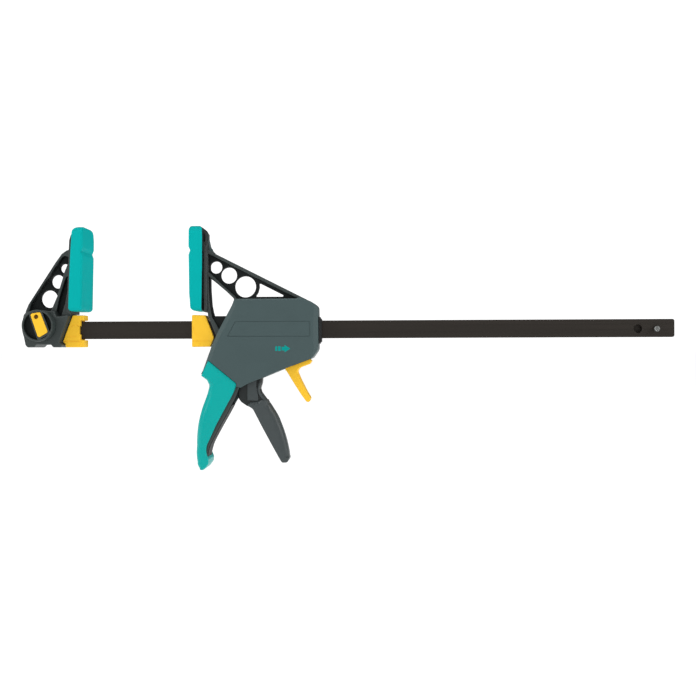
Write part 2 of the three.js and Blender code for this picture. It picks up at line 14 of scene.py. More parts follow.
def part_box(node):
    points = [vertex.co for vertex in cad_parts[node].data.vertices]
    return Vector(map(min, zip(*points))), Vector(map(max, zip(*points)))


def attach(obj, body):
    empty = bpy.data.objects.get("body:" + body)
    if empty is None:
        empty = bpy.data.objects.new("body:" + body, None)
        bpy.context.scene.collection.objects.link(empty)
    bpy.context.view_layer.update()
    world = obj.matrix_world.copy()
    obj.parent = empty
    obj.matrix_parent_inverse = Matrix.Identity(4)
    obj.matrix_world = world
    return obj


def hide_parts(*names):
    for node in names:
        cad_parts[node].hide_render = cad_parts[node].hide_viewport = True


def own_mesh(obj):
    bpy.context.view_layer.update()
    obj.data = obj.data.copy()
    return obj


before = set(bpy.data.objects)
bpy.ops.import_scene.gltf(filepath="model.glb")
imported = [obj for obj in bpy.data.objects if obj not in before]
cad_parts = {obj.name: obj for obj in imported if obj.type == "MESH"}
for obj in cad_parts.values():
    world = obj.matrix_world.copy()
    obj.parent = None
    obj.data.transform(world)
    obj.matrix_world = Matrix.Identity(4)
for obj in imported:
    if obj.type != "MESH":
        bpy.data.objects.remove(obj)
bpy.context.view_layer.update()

lo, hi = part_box("rail_bar")
SX = lo.x * 1000 + 345.0          # drawing -> frame, mm
SZ = (lo.z + hi.z) * 500

scene = bpy.context.scene
scene.view_settings.view_transform = "Standard"
scene.view_settings.look = "None"


def V(x, y, z):
    return Vector(((x + SX) / 1000, y / 1000, (z + SZ) / 1000))


# ------------------------------------------------------------------ materials
def lin(r, g, b):
    f = lambda c: (c / 255 / 12.92) if c / 255 <= 0.04045 else ((c / 255 + 0.055) / 1.055) ** 2.4
    return (f(r), f(g), f(b), 1.0)


def plastic(name, rgb, rough=0.45, spec=0.5, grain=0.35, grain_mm=0.35, vary=0.05, blotch_mm=22, coat=0.0,
            bump=0.12, sheen=0.0, rough_vary=0.06):
    """Moulded plastic: fine spark-eroded grain, slow colour drift, uneven gloss."""
    m = bpy.data.materials.new(name)
    m.use_nodes = True
    nt = m.node_tree
    b = nt.nodes["Principled BSDF"]
    b.inputs["Roughness"].default_value = rough
    b.inputs["Specular IOR Level"].default_value = spec
    if coat:
        b.inputs["Coat Weight"].default_value = coat
        b.inputs["Coat Roughness"].default_value = 0.25
    if sheen:
        b.inputs["Sheen Weight"].default_value = sheen
        b.inputs["Sheen Roughness"].default_value = 0.5
    tc = nt.nodes.new("ShaderNodeTexCoord")
    fine = nt.nodes.new("ShaderNodeTexNoise")
    fine.inputs["Scale"].default_value = 1000 / grain_mm
    fine.inputs["Detail"].default_value = 3
    slow = nt.nodes.new("ShaderNodeTexNoise")
    slow.inputs["Scale"].default_value = 1000 / blotch_mm
    slow.inputs["Detail"].default_value = 4
    for n in (fine, slow):
        nt.links.new(tc.outputs["Object"], n.inputs["Vector"])
    ramp = nt.nodes.new("ShaderNodeMapRange")
    ramp.inputs["From Min"].default_value = 0.25
    ramp.inputs["From Max"].default_value = 0.75
    ramp.inputs["To Min"].default_value = 1 - vary
    ramp.inputs["To Max"].default_value = 1 + vary
    nt.links.new(slow.outputs["Fac"], ramp.inputs["Value"])
    scale = nt.nodes.new("ShaderNodeVectorMath")
    scale.operation = "SCALE"
    c = lin(*rgb)
    scale.inputs[0].default_value = c[:3]
    nt.links.new(ramp.outputs["Result"], scale.inputs["Scale"])
    nt.links.new(scale.outputs["Vector"], b.inputs["Base Color"])
    rr = nt.nodes.new("ShaderNodeMapRange")
    rr.inputs["From Min"].default_value = 0.3
    rr.inputs["From Max"].default_value = 0.7
    rr.inputs["To Min"].default_value = rough - rough_vary
    rr.inputs["To Max"].default_value = rough + rough_vary
    nt.links.new(slow.outputs["Fac"], rr.inputs["Value"])
    nt.links.new(rr.outputs["Result"], b.inputs["Roughness"])
    bp = nt.nodes.new("ShaderNodeBump")
    bp.inputs["Strength"].default_value = grain
    bp.inputs["Distance"].default_value = bump / 1000
    nt.links.new(fine.outputs["Fac"], bp.inputs["Height"])
    nt.links.new(bp.outputs["Normal"], b.inputs["Normal"])
    return m


def metal(name, rgb, rough=0.35, streak=(4, 900, 900), vary=0.15, metallic=1.0, bump=0.02, rough_vary=0.1, spec=0.5):
    """Rolled or turned metal: long streaks along x, uneven polish."""
    m = bpy.data.materials.new(name)
    m.use_nodes = True
    nt = m.node_tree
    b = nt.nodes["Principled BSDF"]
    b.inputs["Metallic"].default_value = metallic
    b.inputs["Specular IOR Level"].default_value = spec
    tc = nt.nodes.new("ShaderNodeTexCoord")
    mp = nt.nodes.new("ShaderNodeMapping")
    mp.inputs["Scale"].default_value = streak
    nt.links.new(tc.outputs["Object"], mp.inputs["Vector"])
    n = nt.nodes.new("ShaderNodeTexNoise")
    n.inputs["Scale"].default_value = 1.0
    n.inputs["Detail"].default_value = 5
    n.inputs["Roughness"].default_value = 0.6
    nt.links.new(mp.outputs["Vector"], n.inputs["Vector"])
    ramp = nt.nodes.new("ShaderNodeMapRange")
    ramp.inputs["From Min"].default_value = 0.3
    ramp.inputs["From Max"].default_value = 0.7
    ramp.inputs["To Min"].default_value = 1 - vary
    ramp.inputs["To Max"].default_value = 1 + vary
    nt.links.new(n.outputs["Fac"], ramp.inputs["Value"])
    scale = nt.nodes.new("ShaderNodeVectorMath")
    scale.operation = "SCALE"
    scale.inputs[0].default_value = lin(*rgb)[:3]
    nt.links.new(ramp.outputs["Result"], scale.inputs["Scale"])
    nt.links.new(scale.outputs["Vector"], b.inputs["Base Color"])
    rr = nt.nodes.new("ShaderNodeMapRange")
    rr.inputs["From Min"].default_value = 0.3
    rr.inputs["From Max"].default_value = 0.7
    rr.inputs["To Min"].default_value = rough - rough_vary
    rr.inputs["To Max"].default_value = rough + rough_vary
    nt.links.new(n.outputs["Fac"], rr.inputs["Value"])
    nt.links.new(rr.outputs["Result"], b.inputs["Roughness"])
    bp = nt.nodes.new("ShaderNodeBump")
    bp.inputs["Strength"].default_value = 0.3
    bp.inputs["Distance"].default_value = bump / 1000
    nt.links.new(n.outputs["Fac"], bp.inputs["Height"])
    nt.links.new(bp.outputs["Normal"], b.inputs["Normal"])
    return m


M_HOUSING = plastic("housing_grey", (68, 84, 85), rough=0.46, spec=0.2, vary=0.03)
M_JAW = plastic("jaw_dark", (56, 63, 62), rough=0.4, spec=0.3, vary=0.04)
# Dark grey of the jaw webs: partly their darker plastic, partly painted shade of the recesses. It is also used as
# painted shade and painted shadow on the pads' backs, in the knob's hollow and on the walls facing the trigger.
M_WEB_AND_SHADE = plastic("web_dark_and_painted_shade", (27, 31, 31), rough=0.5, spec=0.12, vary=0.05)
M_TRIGGER = plastic("trigger_grey", (64, 71, 72), rough=0.36, spec=0.3, vary=0.03)
M_TEAL = plastic("pad_teal", (0, 170, 168), rough=0.55, spec=0.05, vary=0.02, grain_mm=0.5, grain=0.25)
M_GRIP = plastic("grip_teal", (0, 166, 160), rough=0.3, spec=0.15, vary=0.03, grain_mm=0.5, grain=0.15)
M_YELLOW = plastic("yellow", (250, 197, 52), rough=0.45, spec=0.15, vary=0.02, grain=0.2)
M_BLACK = plastic("guide_black", (31, 33, 34), rough=0.42, spec=0.3, vary=0.05)
M_PRINT = plastic("print_teal", (0, 146, 140), rough=0.5, spec=0.1, vary=0.02, grain=0.1)
M_BAR = metal("bar_blackened", (39, 34, 29), rough=0.5, metallic=0.12, vary=0.14, streak=(5, 500, 500), spec=0.25)
M_ZINC = metal("zinc", (168, 170, 170), rough=0.32, streak=(300, 300, 300), vary=0.08)
M_PLATE = metal("plate_steel", (120, 120, 122), rough=0.4, streak=(400, 400, 20), vary=0.1)
M_SPRING = metal("spring_steel", (110, 110, 112), rough=0.3, streak=(300, 300, 300), vary=0.08)
M_PIN = metal("pin_steel", (140, 142, 140), rough=0.42, streak=(60, 900, 60), vary=0.05, bump=0.004, rough_vary=0.05)
# Dark grey for the trigger's hub: painted shade of its recess and of the neck that runs up under the housing.
M_HUB_SHADE = plastic("trigger_hub_painted_shade", (33, 38, 38), rough=0.4, spec=0.3, vary=0.04)


# ------------------------------------------------------------------ mesh tools
def rounded(points, steps=5):
    """Rounds the corners of [(x, z, radius, edge)], keeping each corner's edge width."""
    out = []
    n = len(points)
    for i, p in enumerate(points):
        x, z = p[0], p[1]
        r = p[2] if len(p) > 2 else 0
        w = p[3] if len(p) > 3 else None
        if not r:
            out.append((x, z, w, None))
            continue
        a = Vector((points[i - 1][0] - x, points[i - 1][1] - z))
        b = Vector((points[(i + 1) % n][0] - x, points[(i + 1) % n][1] - z))
        la, lb = a.length, b.length
        a.normalize(); b.normalize()
        half = math.acos(max(-1, min(1, a.dot(b)))) / 2
        t = min(r / math.tan(half), la * 0.49, lb * 0.49)
        rr = t * math.tan(half)
        m = (a + b)
        if m.length < 1e-6:
            out.append((x, z, w, None))
            continue
        c = m.normalized() * (rr / math.sin(half))
        p0, p1 = a * t, b * t
        a0 = math.atan2(p0.y - c.y, p0.x - c.x)
        a1 = math.atan2(p1.y - c.y, p1.x - c.x)
        while a1 - a0 > math.pi:
            a1 -= 2 * math.pi
        while a1 - a0 < -math.pi:
            a1 += 2 * math.pi
        for k in range(steps + 1):
            q = a0 + (a1 - a0) * k / steps
            out.append((x + c.x + rr * math.cos(q), z + c.y + rr * math.sin(q), w, rr))
    return out


def area2(pts):
    return sum(pts[i][0] * pts[(i + 1) % len(pts)][1] - pts[(i + 1) % len(pts)][0] * pts[i][1] for i in range(len(pts)))


def mesh_object(name, verts, faces, merge=2e-5):
    me = bpy.data.meshes.new(name)
    me.from_pydata([tuple(v) for v in verts], [], faces)
    bm = bmesh.new()
    bm.from_mesh(me)
    bmesh.ops.remove_doubles(bm, verts=bm.verts, dist=merge)
    bmesh.ops.dissolve_degenerate(bm, dist=merge, edges=bm.edges)
    bmesh.ops.recalc_face_normals(bm, faces=bm.faces)
    bm.to_mesh(me)
    bm.free()
    ob = bpy.data.objects.new(name, me)
    scene.collection.objects.link(ob)
    return ob


BEVEL = [(0.0, 1.0), (0.025, 0.9), (0.09, 0.8), (0.9, 0.085), (0.955, 0.025), (1.0, 0.0)]


def slab(points, y0, y1, edge=0.6, back=None, own="both", steps=5, prof=4, ratio=1.0, name="slab", bevel=False):
    """A plate with the outline [(x, z, radius, edge)] between y0 and y1, its rims rounded by edge on the
    y0 side and by back on the y1 side. A point's own edge width goes to the side that own names."""
    back = edge if back is None else back
    pts = rounded(points, steps)
    if area2(pts) < 0:
        pts = pts[::-1]
    # drop doubled points
    clean = []
    for p in pts:
        if not clean or math.hypot(p[0] - clean[-1][0], p[1] - clean[-1][1]) > 0.02:
            clean.append(p)
    if math.hypot(clean[0][0] - clean[-1][0], clean[0][1] - clean[-1][1]) < 0.02:
        clean.pop()
    pts = clean
    n = len(pts)
    miter, convex = [], []
    for i in range(n):
        a, p, b = pts[i - 1], pts[i], pts[(i + 1) % n]
        e1 = Vector((p[0] - a[0], p[1] - a[1])).normalized()
        e2 = Vector((b[0] - p[0], b[1] - p[1])).normalized()
        n1, n2 = Vector((-e1.y, e1.x)), Vector((-e2.y, e2.x))
        d = max(0.25, 1 + n1.dot(n2))
        miter.append((n1 + n2) / d)
        convex.append(e1.x * e2.y - e1.y * e2.x > 0)

    def widths(default, use_own):
        out = []
        for i, p in enumerate(pts):
            w = p[2] if (use_own and p[2] is not None) else default
            if p[3] is not None and convex[i]:
                w = min(w, p[3] * 0.98)
            out.append(w)
        return out

    w0 = widths(edge, own in ("both", "y0"))
    w1 = widths(back, own in ("both", "y1"))
    half = (y1 - y0) / 2
    rings = []
    for side, ws in ((0, w0), (1, w1)):
        seq = []
        th = [math.pi / 2 * k / prof for k in range(prof + 1)]
        for fi, fd in (BEVEL if bevel and side == 0 else [(1 - math.cos(a), 1 - math.sin(a)) for a in th]):
            ring = []
            for i, p in enumerate(pts):
                w = ws[i]
                d = min(w * ratio, half * 0.98)
                inset = w * fi
                y = (y0 + d * fd) if side == 0 else (y1 - d * fd)
                ring.append(V(p[0] + miter[i].x * inset, y, p[1] + miter[i].y * inset))
            seq.append(ring)
        rings.append(seq)
    order = rings[0][::-1] + rings[1]          # front cap ... front edge, back edge ... back cap
    verts = [v for ring in order for v in ring]
    faces = []
    for k in range(len(order) - 1):
        for i in range(n):
            j = (i + 1) % n
            faces.append((k * n + i, (k + 1) * n + i, (k + 1) * n + j, k * n + j))
    faces.append(tuple(range(n)))
    faces.append(tuple(range((len(order) - 1) * n, len(order) * n))[::-1])
    return mesh_object(name, verts, faces)


def lathe_y(x, z, profile, seg=64, name="lathe"):
    """Turns [(radius, y)] about the line through (x, z) along y."""
    verts, faces = [], []
    m = len(profile)
    for i in range(seg):
        a = 2 * math.pi * i / seg
        for r, y in profile:
            verts.append(V(x + r * math.cos(a), y, z + r * math.sin(a)))
    for i in range(seg):
        j = (i + 1) % seg
        for k in range(m - 1):
            faces.append((i * m + k, j * m + k, j * m + k + 1, i * m + k + 1))
    closed = profile[0][0] > 1e-6
    if closed:
        for i in range(seg):
            j = (i + 1) % seg
            faces.append((i * m + m - 1, j * m + m - 1, j * m, i * m))
    return mesh_object(name, verts, faces)


def disc_profile(r, y0, y1, e0=0.3, e1=0.3, k=4):
    """Closed profile of a solid disc with rounded rims."""
    out = [(0, y0)]
    for i in range(k + 1):
        a = math.pi / 2 * i / k
        out.append((r - e0 + e0 * math.sin(a), y0 + e0 - e0 * math.cos(a)))
    for i in range(k + 1):
        a = math.pi / 2 * i / k
        out.append((r - e1 + e1 * math.cos(a), y1 - e1 + e1 * math.sin(a)))
    out.append((0, y1))
    return out


def rod(x, z, r, y0, y1, seg=48, e=0.0, name="rod"):
    if e:
        return lathe_y(x, z, disc_profile(r, y0, y1, e, e), seg, name)
    return lathe_y(x, z, [(0, y0), (r, y0), (r, y1), (0, y1)], seg, name)


def hole(x, z, r, y0, y1, flare=0.4, seg=48, deep=None):
    """A cutter that leaves a rounded rim, flare wide and deep deep, where it breaks through y0 and y1."""
    deep = flare if deep is None else deep
    prof = [(0, y0 - 2), (r + flare + 0.01, y0 - 2), (r + flare, y0)]
    for i in range(1, 5):
        a = math.pi / 2 * i / 4
        prof.append((r + flare * (1 - math.sin(a)), y0 + deep * (1 - math.cos(a))))
    for i in range(4, -1, -1):
        a = math.pi / 2 * i / 4
        prof.append((r + flare * (1 - math.sin(a)), y1 - deep * (1 - math.cos(a))))
    prof += [(r + flare + 0.01, y1 + 2), (0, y1 + 2)]
    return lathe_y(x, z, prof, seg, "hole")


def box(x0, x1, y0, y1, z0, z1, name="box"):
    c = [V(x, y, z) for x in (x0, x1) for y in (y0, y1) for z in (z0, z1)]
    f = [(0, 1, 3, 2), (4, 6, 7, 5), (0, 4, 5, 1), (2, 3, 7, 6), (0, 2, 6, 4), (1, 5, 7, 3)]
    return mesh_object(name, c, f)


def window(points, y0, y1, flare=0.5, steps=5):
    """A cutter for a window in a web: its rim flares by flare at both faces."""
    pts = rounded(points, steps)
    if area2(pts) < 0:
        pts = pts[::-1]
    n = len(pts)
    prof = [(flare + 0.01, y0 - 2), (flare, y0)]
    for i in range(1, 4):
        a = math.pi / 2 * i / 3
        prof.append((flare * (1 - math.sin(a)), y0 + flare * (1 - math.cos(a))))
    for i in range(3, -1, -1):
        a = math.pi / 2 * i / 3
        prof.append((flare * (1 - math.sin(a)), y1 - flare * (1 - math.cos(a))))
    prof.append((flare + 0.01, y1 + 2))
    verts, faces = [], []
    for off, y in prof:
        for i in range(n):
            a, p, b = pts[i - 1], pts[i], pts[(i + 1) % n]
            e1 = Vector((p[0] - a[0], p[1] - a[1])).normalized()
            e2 = Vector((b[0] - p[0], b[1] - p[1])).normalized()
            n1, n2 = Vector((-e1.y, e1.x)), Vector((-e2.y, e2.x))
            m = (n1 + n2) / max(0.4, 1 + n1.dot(n2))
            verts.append(V(p[0] - m.x * off, y, p[1] - m.y * off))
    for k in range(len(prof) - 1):
        for i in range(n):
            j = (i + 1) % n
            faces.append((k * n + i, (k + 1) * n + i, (k + 1) * n + j, k * n + j))
    faces.append(tuple(range(n)))
    faces.append(tuple(range((len(prof) - 1) * n, len(prof) * n))[::-1])
    return mesh_object("window", verts, faces)


def boolean(ob, others, operation):
    for o in others:
        m = ob.modifiers.new("b", "BOOLEAN")
        m.object = o
        m.operation = operation
        m.solver = "MANIFOLD"
    dg = bpy.context.evaluated_depsgraph_get()
    dg.update()
    me = bpy.data.meshes.new_from_object(ob.evaluated_get(dg))
    old = ob.data
    ob.modifiers.clear()
    ob.data = me
    bpy.data.meshes.remove(old)
    for o in others:
        d = o.data
        bpy.data.objects.remove(o)
        bpy.data.meshes.remove(d)
    return ob


def unite(*obs):
    return boolean(obs[0], obs[1:], "UNION")


def subtract(ob, *tools):
    return boolean(ob, tools, "DIFFERENCE")


def common(ob, *others):
    return boolean(ob, others, "INTERSECT")


def remesh(ob, voxel_mm, smooth=4, factor=0.5):
    m = ob.modifiers.new("r", "REMESH")
    m.mode = "VOXEL"
    m.voxel_size = voxel_mm / 1000
    s = ob.modifiers.new("s", "SMOOTH")
    s.iterations = smooth
    s.factor = factor
    dg = bpy.context.evaluated_depsgraph_get()
    dg.update()
    me = bpy.data.meshes.new_from_object(ob.evaluated_get(dg))
    old = ob.data
    ob.modifiers.clear()
    ob.data = me
    bpy.data.meshes.remove(old)
    return ob


def tidy(ob, angle=32, weighted=True):
    bm = bmesh.new()
    bm.from_mesh(ob.data)
    bmesh.ops.remove_doubles(bm, verts=bm.verts, dist=4e-6)
    bmesh.ops.dissolve_degenerate(bm, dist=2e-6, edges=bm.edges)
    bm.to_mesh(ob.data)
    bm.free()
    for p in ob.data.polygons:
        p.use_smooth = True
    ob.data.set_sharp_from_angle(angle=math.radians(angle))
    if weighted:
        w = ob.modifiers.new("w", "WEIGHTED_NORMAL")
        w.keep_sharp = True
        w.weight = 50
    return ob


def dress(ob, *mats):
    ob.data.materials.clear()
    for m in mats:
        ob.data.materials.append(m)
    for p in ob.data.polygons:
        p.material_index = 0
    return ob


def paint(ob, index, test):
    """Gives a material slot to the faces whose centre (in drawing mm) and normal pass the test."""
    for p in ob.data.polygons:
        c = p.center
        if test(c.x * 1000 - SX, c.y * 1000, c.z * 1000 - SZ, p.normal):
            p.material_index = index
    return ob


def mirrored(ob, name):
    me = ob.data.copy()
    me.transform(Matrix.Diagonal((1, -1, 1, 1)))
    me.flip_normals()
    old = ob.data
    bpy.data.objects.remove(ob)
    bpy.data.meshes.remove(old)
    o = bpy.data.objects.new(name, me)
    scene.collection.objects.link(o)
    return o


def named(ob, name):
    ob.name = name
    ob.data.name = name
    return ob


def place(ob, name, body, slot, *nodes):
    named(ob, name)
    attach(ob, body)
    if nodes:
        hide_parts(*nodes)
    return ob


# --------------------------------------------------------------------- camera
CAM_D, CAM_MM_PER_PX, CAM_YAW, CAM_ROLL, CAM_DROP = 720.0, 1.07, math.radians(2.1), math.radians(0.18), 19.98
cam_data = bpy.data.cameras.new("camera")
cam_data.sensor_width = 36.0
cam_data.lens = 36.0 * (CAM_D / CAM_MM_PER_PX) / 696
cam_data.clip_start = 0.05
cam_data.clip_end = 30
camera = bpy.data.objects.new("camera", cam_data)
scene.collection.objects.link(camera)
look = Vector((-math.sin(CAM_YAW), math.cos(CAM_YAW), 0))
right = Vector((math.cos(CAM_YAW), math.sin(CAM_YAW), 0))
up = Vector((0, 0, 1))
r2 = right * math.cos(CAM_ROLL) - up * math.sin(CAM_ROLL)
u2 = up * math.cos(CAM_ROLL) + right * math.sin(CAM_ROLL)
rot = Matrix((r2, u2, -look)).transposed().to_4x4()
camera.matrix_world = Matrix.Translation(V(0, 0, -CAM_DROP) - look * (CAM_D / 1000)) @ rot
scene.camera = camera

# ----------------------------------------------------------------------- bar
bar = slab([(-345.0, -9.5), (342.4, -9.5, 2.2), (342.4, 9.5, 2.2), (-345.0, 9.5)], -3.0, 3.0, edge=0.55, prof=3)
bar = subtract(bar,
               hole(-328.6, -0.6, 4.7, -3, 3, 0.3),
               lathe_y(304.8, -0.6, [(0, -5), (5.2, -5), (5.2, -3), (4.3, -2.2), (4.3, 1.4), (0, 1.4)], 48),
               rod(323.2, -0.8, 3.05, -5, 5))
tidy(dress(bar, M_BAR))
place(bar, "bar", "rail", "blackened_steel", "rail_bar")

# rolled spring pin: a tube filled but for a shallow hollow at each end; its slit is not drawn
pin = lathe_y(323.2, -0.8, [(1.5, -6.2), (2.35, -6.9), (2.9, -6.2), (2.9, 6.2), (2.35, 6.9), (1.5, 6.2)], 40)
pin = unite(pin, rod(323.2, -0.8, 1.6, -5.6, 5.6, 24))
tidy(dress(pin, M_PIN))
place(pin, "stop_pin", "rail", "bright_steel", "end_stop_pin")

# ----------------------------------------------------------------- fixed jaw
PLATE_HALF, JAW_HALF = 11.5, 8.0
FIXED_PLATE = [
    (-293.4, 103.4, 1), (-295.8, 102.8, 2), (-297.8, 96.5, 3), (-298.4, 86.0), (-299.1, 51.6), (-299.6, 35.0),
    (-301.0, 19.0, 1.5), (-297.6, 17.2, 1.5), (-296.4, 17.2, 1)]
FIXED_LOWER = [
    (-345.6, 20.6, 4, 4.0), (-347.4, 16.0, 8, 2.0), (-348.8, 8.0, 10, 1.2), (-348.6, -1.3, 8), (-346.7, -8.0), (-345.1, -16.0, 3),
    (-342.8, -18.4, 2), (-336.2, -18.4, 2), (-333.3, -15.5, 1), (-317.2, -15.5, 1), (-315.0, -18.4, 2),
    (-306.4, -18.4, 2), (-305.3, -15.2, 1), (-308.4, -12.9, 1), (-297.6, 16.2, 1), (-305.5, 15.3, 0, 2.0), (-311.9, 15.3, 1, 3.0),
    (-313.5, 20.6, 1, 4.4)]
FIXED_OUTER_RIB = [
    (-298.4, 87.2), (-302.5, 85.9, 4), (-307.8, 82.2, 4), (-314.6, 72.9), (-344.3, 27.9, 8), (-347.6, 20.0), (-344.0, 18.0),
    (-341.5, 28.8, 4), (-335.9, 37.4), (-325.8, 52.0), (-309.9, 75.0, 4), (-306.4, 79.2, 3), (-303.8, 80.0, 3), (-298.4, 78.2)]
FIXED_OUTER_RIB_BACK = [
    (-298.4, 87.2), (-302.5, 85.9, 4), (-307.8, 82.2, 4), (-314.6, 72.9), (-344.3, 27.9, 8), (-347.6, 20.0), (-344.0, 18.0),
    (-341.5, 28.8, 4), (-336.1, 37.7), (-327.0, 52.6), (-312.6, 74.3, 4), (-308.2, 79.4, 3), (-304.5, 82.2, 3), (-298.4, 81.5)]
FIXED_DIAGONAL_RIB = [
    (-298.4, 76.0), (-301.2, 71.0, 2), (-305.1, 61.9), (-306.6, 56.2), (-312.6, 36.9), (-317.6, 25.4), (-321.0, 17.0),
    (-314.6, 15.0), (-310.4, 34.2), (-307.9, 42.3), (-303.8, 54.6, 2), (-302.0, 57.8, 1), (-298.4, 58.0)]
FIXED_FRONT_RIB = [
    (-299.0, 60.0), (-301.0, 56.2, 1), (-301.4, 42.2, 10), (-303.9, 28.8), (-308.0, 15.9), (-307.0, 10.0), (-300.0, 8.0),
    (-297.6, 17.0), (-297.6, 60.0)]
FIXED_WEB = [
    (-297.0, 96.0), (-298.4, 86.6), (-304.6, 81.8, 5), (-309.2, 75.8, 5), (-319.3, 59.9), (-338.5, 32.2), (-343.2, 24.0, 6),
    (-342.0, 14.0), (-334.0, -6.0), (-306.0, -6.0), (-298.4, 16.6)]
FIXED_INNER = [
    (-299.0, 85.6), (-303.2, 84.2), (-308.4, 80.6), (-315.0, 71.4), (-344.0, 27.4), (-345.4, 21.4), (-313.0, 20.8), (-311.0, 15.6),
    (-299.0, 15.6)]
FIXED_PAD_SEAT = [(-293.25, 103.6), (-305.0, 103.6), (-305.0, 17.0), (-296.25, 17.0)]


def within(poly, x, z):
    hit = False
    for i in range(len(poly)):
        (ax, az), (bx, bz) = poly[i - 1][:2], poly[i][:2]
        if (az > z) != (bz > z) and x < (bx - ax) * (z - az) / (bz - az) + ax:
            hit = not hit
    return hit


def facing(points, x0, x1, steps=6):
    """Solid with the outline [(y, z, radius)], running along x."""
    pts = [(p[0], p[1]) for p in rounded(points, steps)]
    n = len(pts)
    verts = [V(x0, p[0], p[1]) for p in pts] + [V(x1, p[0], p[1]) for p in pts]
    faces = [(i, (i + 1) % n, n + (i + 1) % n, n + i) for i in range(n)] + [tuple(range(n))[::-1], tuple(range(n, 2 * n))]
    return mesh_object("face", verts, faces)


def arc_groove(cx, cz, r, a0, a1, y0, y1, w=0.45, n=14):
    """Cutter for a thin groove along an arc, angles in degrees."""
    t = [math.radians(a0 + (a1 - a0) * i / n) for i in range(n + 1)]
    out = [(cx + (r + w / 2) * math.cos(a), cz + (r + w / 2) * math.sin(a)) for a in t]
    out += [(cx + (r - w / 2) * math.cos(a), cz + (r - w / 2) * math.sin(a)) for a in t[::-1]]
    return slab(out, y0, y1, 0.01)


jaw = slab(FIXED_WEB, -3, 3, 0.3)
jaw = subtract(jaw, hole(-307.2, 67.2, 4.9, -3, 3, 0.8, deep=2.7), hole(-314.7, 52.9, 7.3, -3, 3, 0.9, deep=2.7),
               hole(-324.0, 34.1, 9.4, -3, 3, 1.0, deep=2.7))
jaw = unite(
    jaw,
    slab(FIXED_PLATE, -PLATE_HALF, PLATE_HALF, 0.8),
    slab(FIXED_OUTER_RIB, -JAW_HALF, 0.3, 1.1, back=0.02, prof=6),
    slab(FIXED_OUTER_RIB_BACK, -0.3, JAW_HALF, 0.02, back=0.3, prof=3),
    slab(FIXED_DIAGONAL_RIB, -JAW_HALF, JAW_HALF, 0.9, prof=5),
    slab(FIXED_FRONT_RIB, -JAW_HALF, JAW_HALF, 0.7, prof=5),
    slab(FIXED_LOWER, -13, 13, 1.1, prof=6),
    lathe_y(-328.6, 4.8, [(0, -13.0), (15.8, -13.0), (16.6, -12.8), (17.0, -12.2), (17.0, 18.6), (16.6, 19.6), (15.8, 20.0), (0, 20.0)], 96),
    box(-296.0, -290.2, -9, 9, 34, 94))
jaw = subtract(
    jaw,
    box(-345.3, -290, -3.3, 3.3, -9.8, 9.8),
    lathe_y(-328.6, 4.8, [(0, 15.0), (13.0, 15.0), (13.5, 15.5), (13.5, 19.4), (14.1, 20.1), (14.1, 22), (0, 22)], 64),
    rod(-328.6, 4.8, 12.1, -15, -8, 64),
    rod(-328.6, -0.6, 4.25, -9, 3.3, 40))
tidy(dress(jaw, M_JAW, M_WEB_AND_SHADE))
# Partly painted shade: the web and the inner walls of the ribs get the dark web grey; some of it is the web's darker
# plastic, the rest stands in for the shade in the recess.
paint(jaw, 1, lambda x, y, z, n: abs(y) < 6.9 and within(FIXED_INNER, x, z))
place(jaw, "fixed_jaw", "rail", "jaw_plastic", "fixed_jaw_frame")


def pad_face(x0, x1, z0, z1, top, bottom):
    """Solid with the pad's face outline (in y and z), running along x."""
    return facing([(-16.0, z0, bottom), (16.0, z0, bottom), (16.0, z1, top), (-16.0, z1, top)], x0, x1, 10)


FIXED_PAD = [
    (-293.0, 110.9, 7), (-282.2, 110.9, 2.5, 2.0), (-281.4, 98.0, 0, 2.0), (-281.6, 88.4, 0, 2.0), (-283.4, 84.0, 0.3, 1.6), (-281.8, 79.6, 0, 2.0),
    (-282.9, 31.0, 0, 2.0), (-283.2, 20.1, 4, 2.0), (-297.2, 20.1, 5.5), (-297.0, 26.5), (-296.5, 42.5), (-294.8, 80.8), (-293.7, 98.0)]
pad = common(slab(FIXED_PAD, -15.95, 15.95, 0.7, prof=5), pad_face(-302, -275, 20.1, 110.9, 9.4, 5))
pad = subtract(pad, slab(FIXED_PAD_SEAT, -PLATE_HALF - 0.15, PLATE_HALF + 0.15, 0.02), box(-297, -289.6, -9.4, 9.4, 33.6, 94.4))
remesh(pad, 0.45, smooth=2)
tidy(dress(pad, M_TEAL, M_WEB_AND_SHADE), 60, weighted=False)
# Painted shadow: the pad's back faces get the dark web grey, standing in for the shadow behind the pad, here only to
# match the moving pad.
paint(pad, 1, lambda x, y, z, n: abs(y) < 15.3 and n.x < -0.75)
place(pad, "fixed_pad", "rail", "pad_teal", "fixed_jaw_pad")

FIXED_BLOCK = [(-296.6, 16.2, 1.2), (-284.3, 16.2, 1.2), (-284.3, -18.4, 1.2), (-304.6, -18.4, 1.5), (-304.6, -14.8, 0.6), (-307.4, -12.4, 1)]
blk = slab(FIXED_BLOCK, -5.7, 5.7, 0.7)
blk = unite(blk, slab([(-296.4, 16.0, 1.2), (-287.6, 16.0, 0.4), (-287.6, -18.2, 0.4), (-304.4, -18.2, 1.4), (-304.4, -14.8, 0.6), (-307.2, -12.4, 1)], -6.0, 6.0, 0.35))
blk = subtract(blk, box(-310, -280, -3.3, 3.3, -9.8, 9.8),
               box(-288.0, -280, -8, 8, -10.6, 10.6), box(-289.4, -280, -8, 8, -4.6, 4.6),
               box(-304, -292.2, -7, -5.65, -6.9, -6.4), box(-304, -292.2, 5.65, 7, -6.9, -6.4),
               box(-310, -287.9, -7, -5.45, -12.2, -11.5), box(-310, -287.9, 5.45, 7, -12.2, -11.5),
               arc_groove(-293.6, 0.6, 5.2, 20, 150, -7, -5.7), arc_groove(-293.6, 0.6, 5.2, 20, 150, 5.7, 7))
tidy(dress(blk, M_YELLOW))
place(blk, "fixed_bar_guide", "rail", "yellow_plastic", "fixed_bar_block")

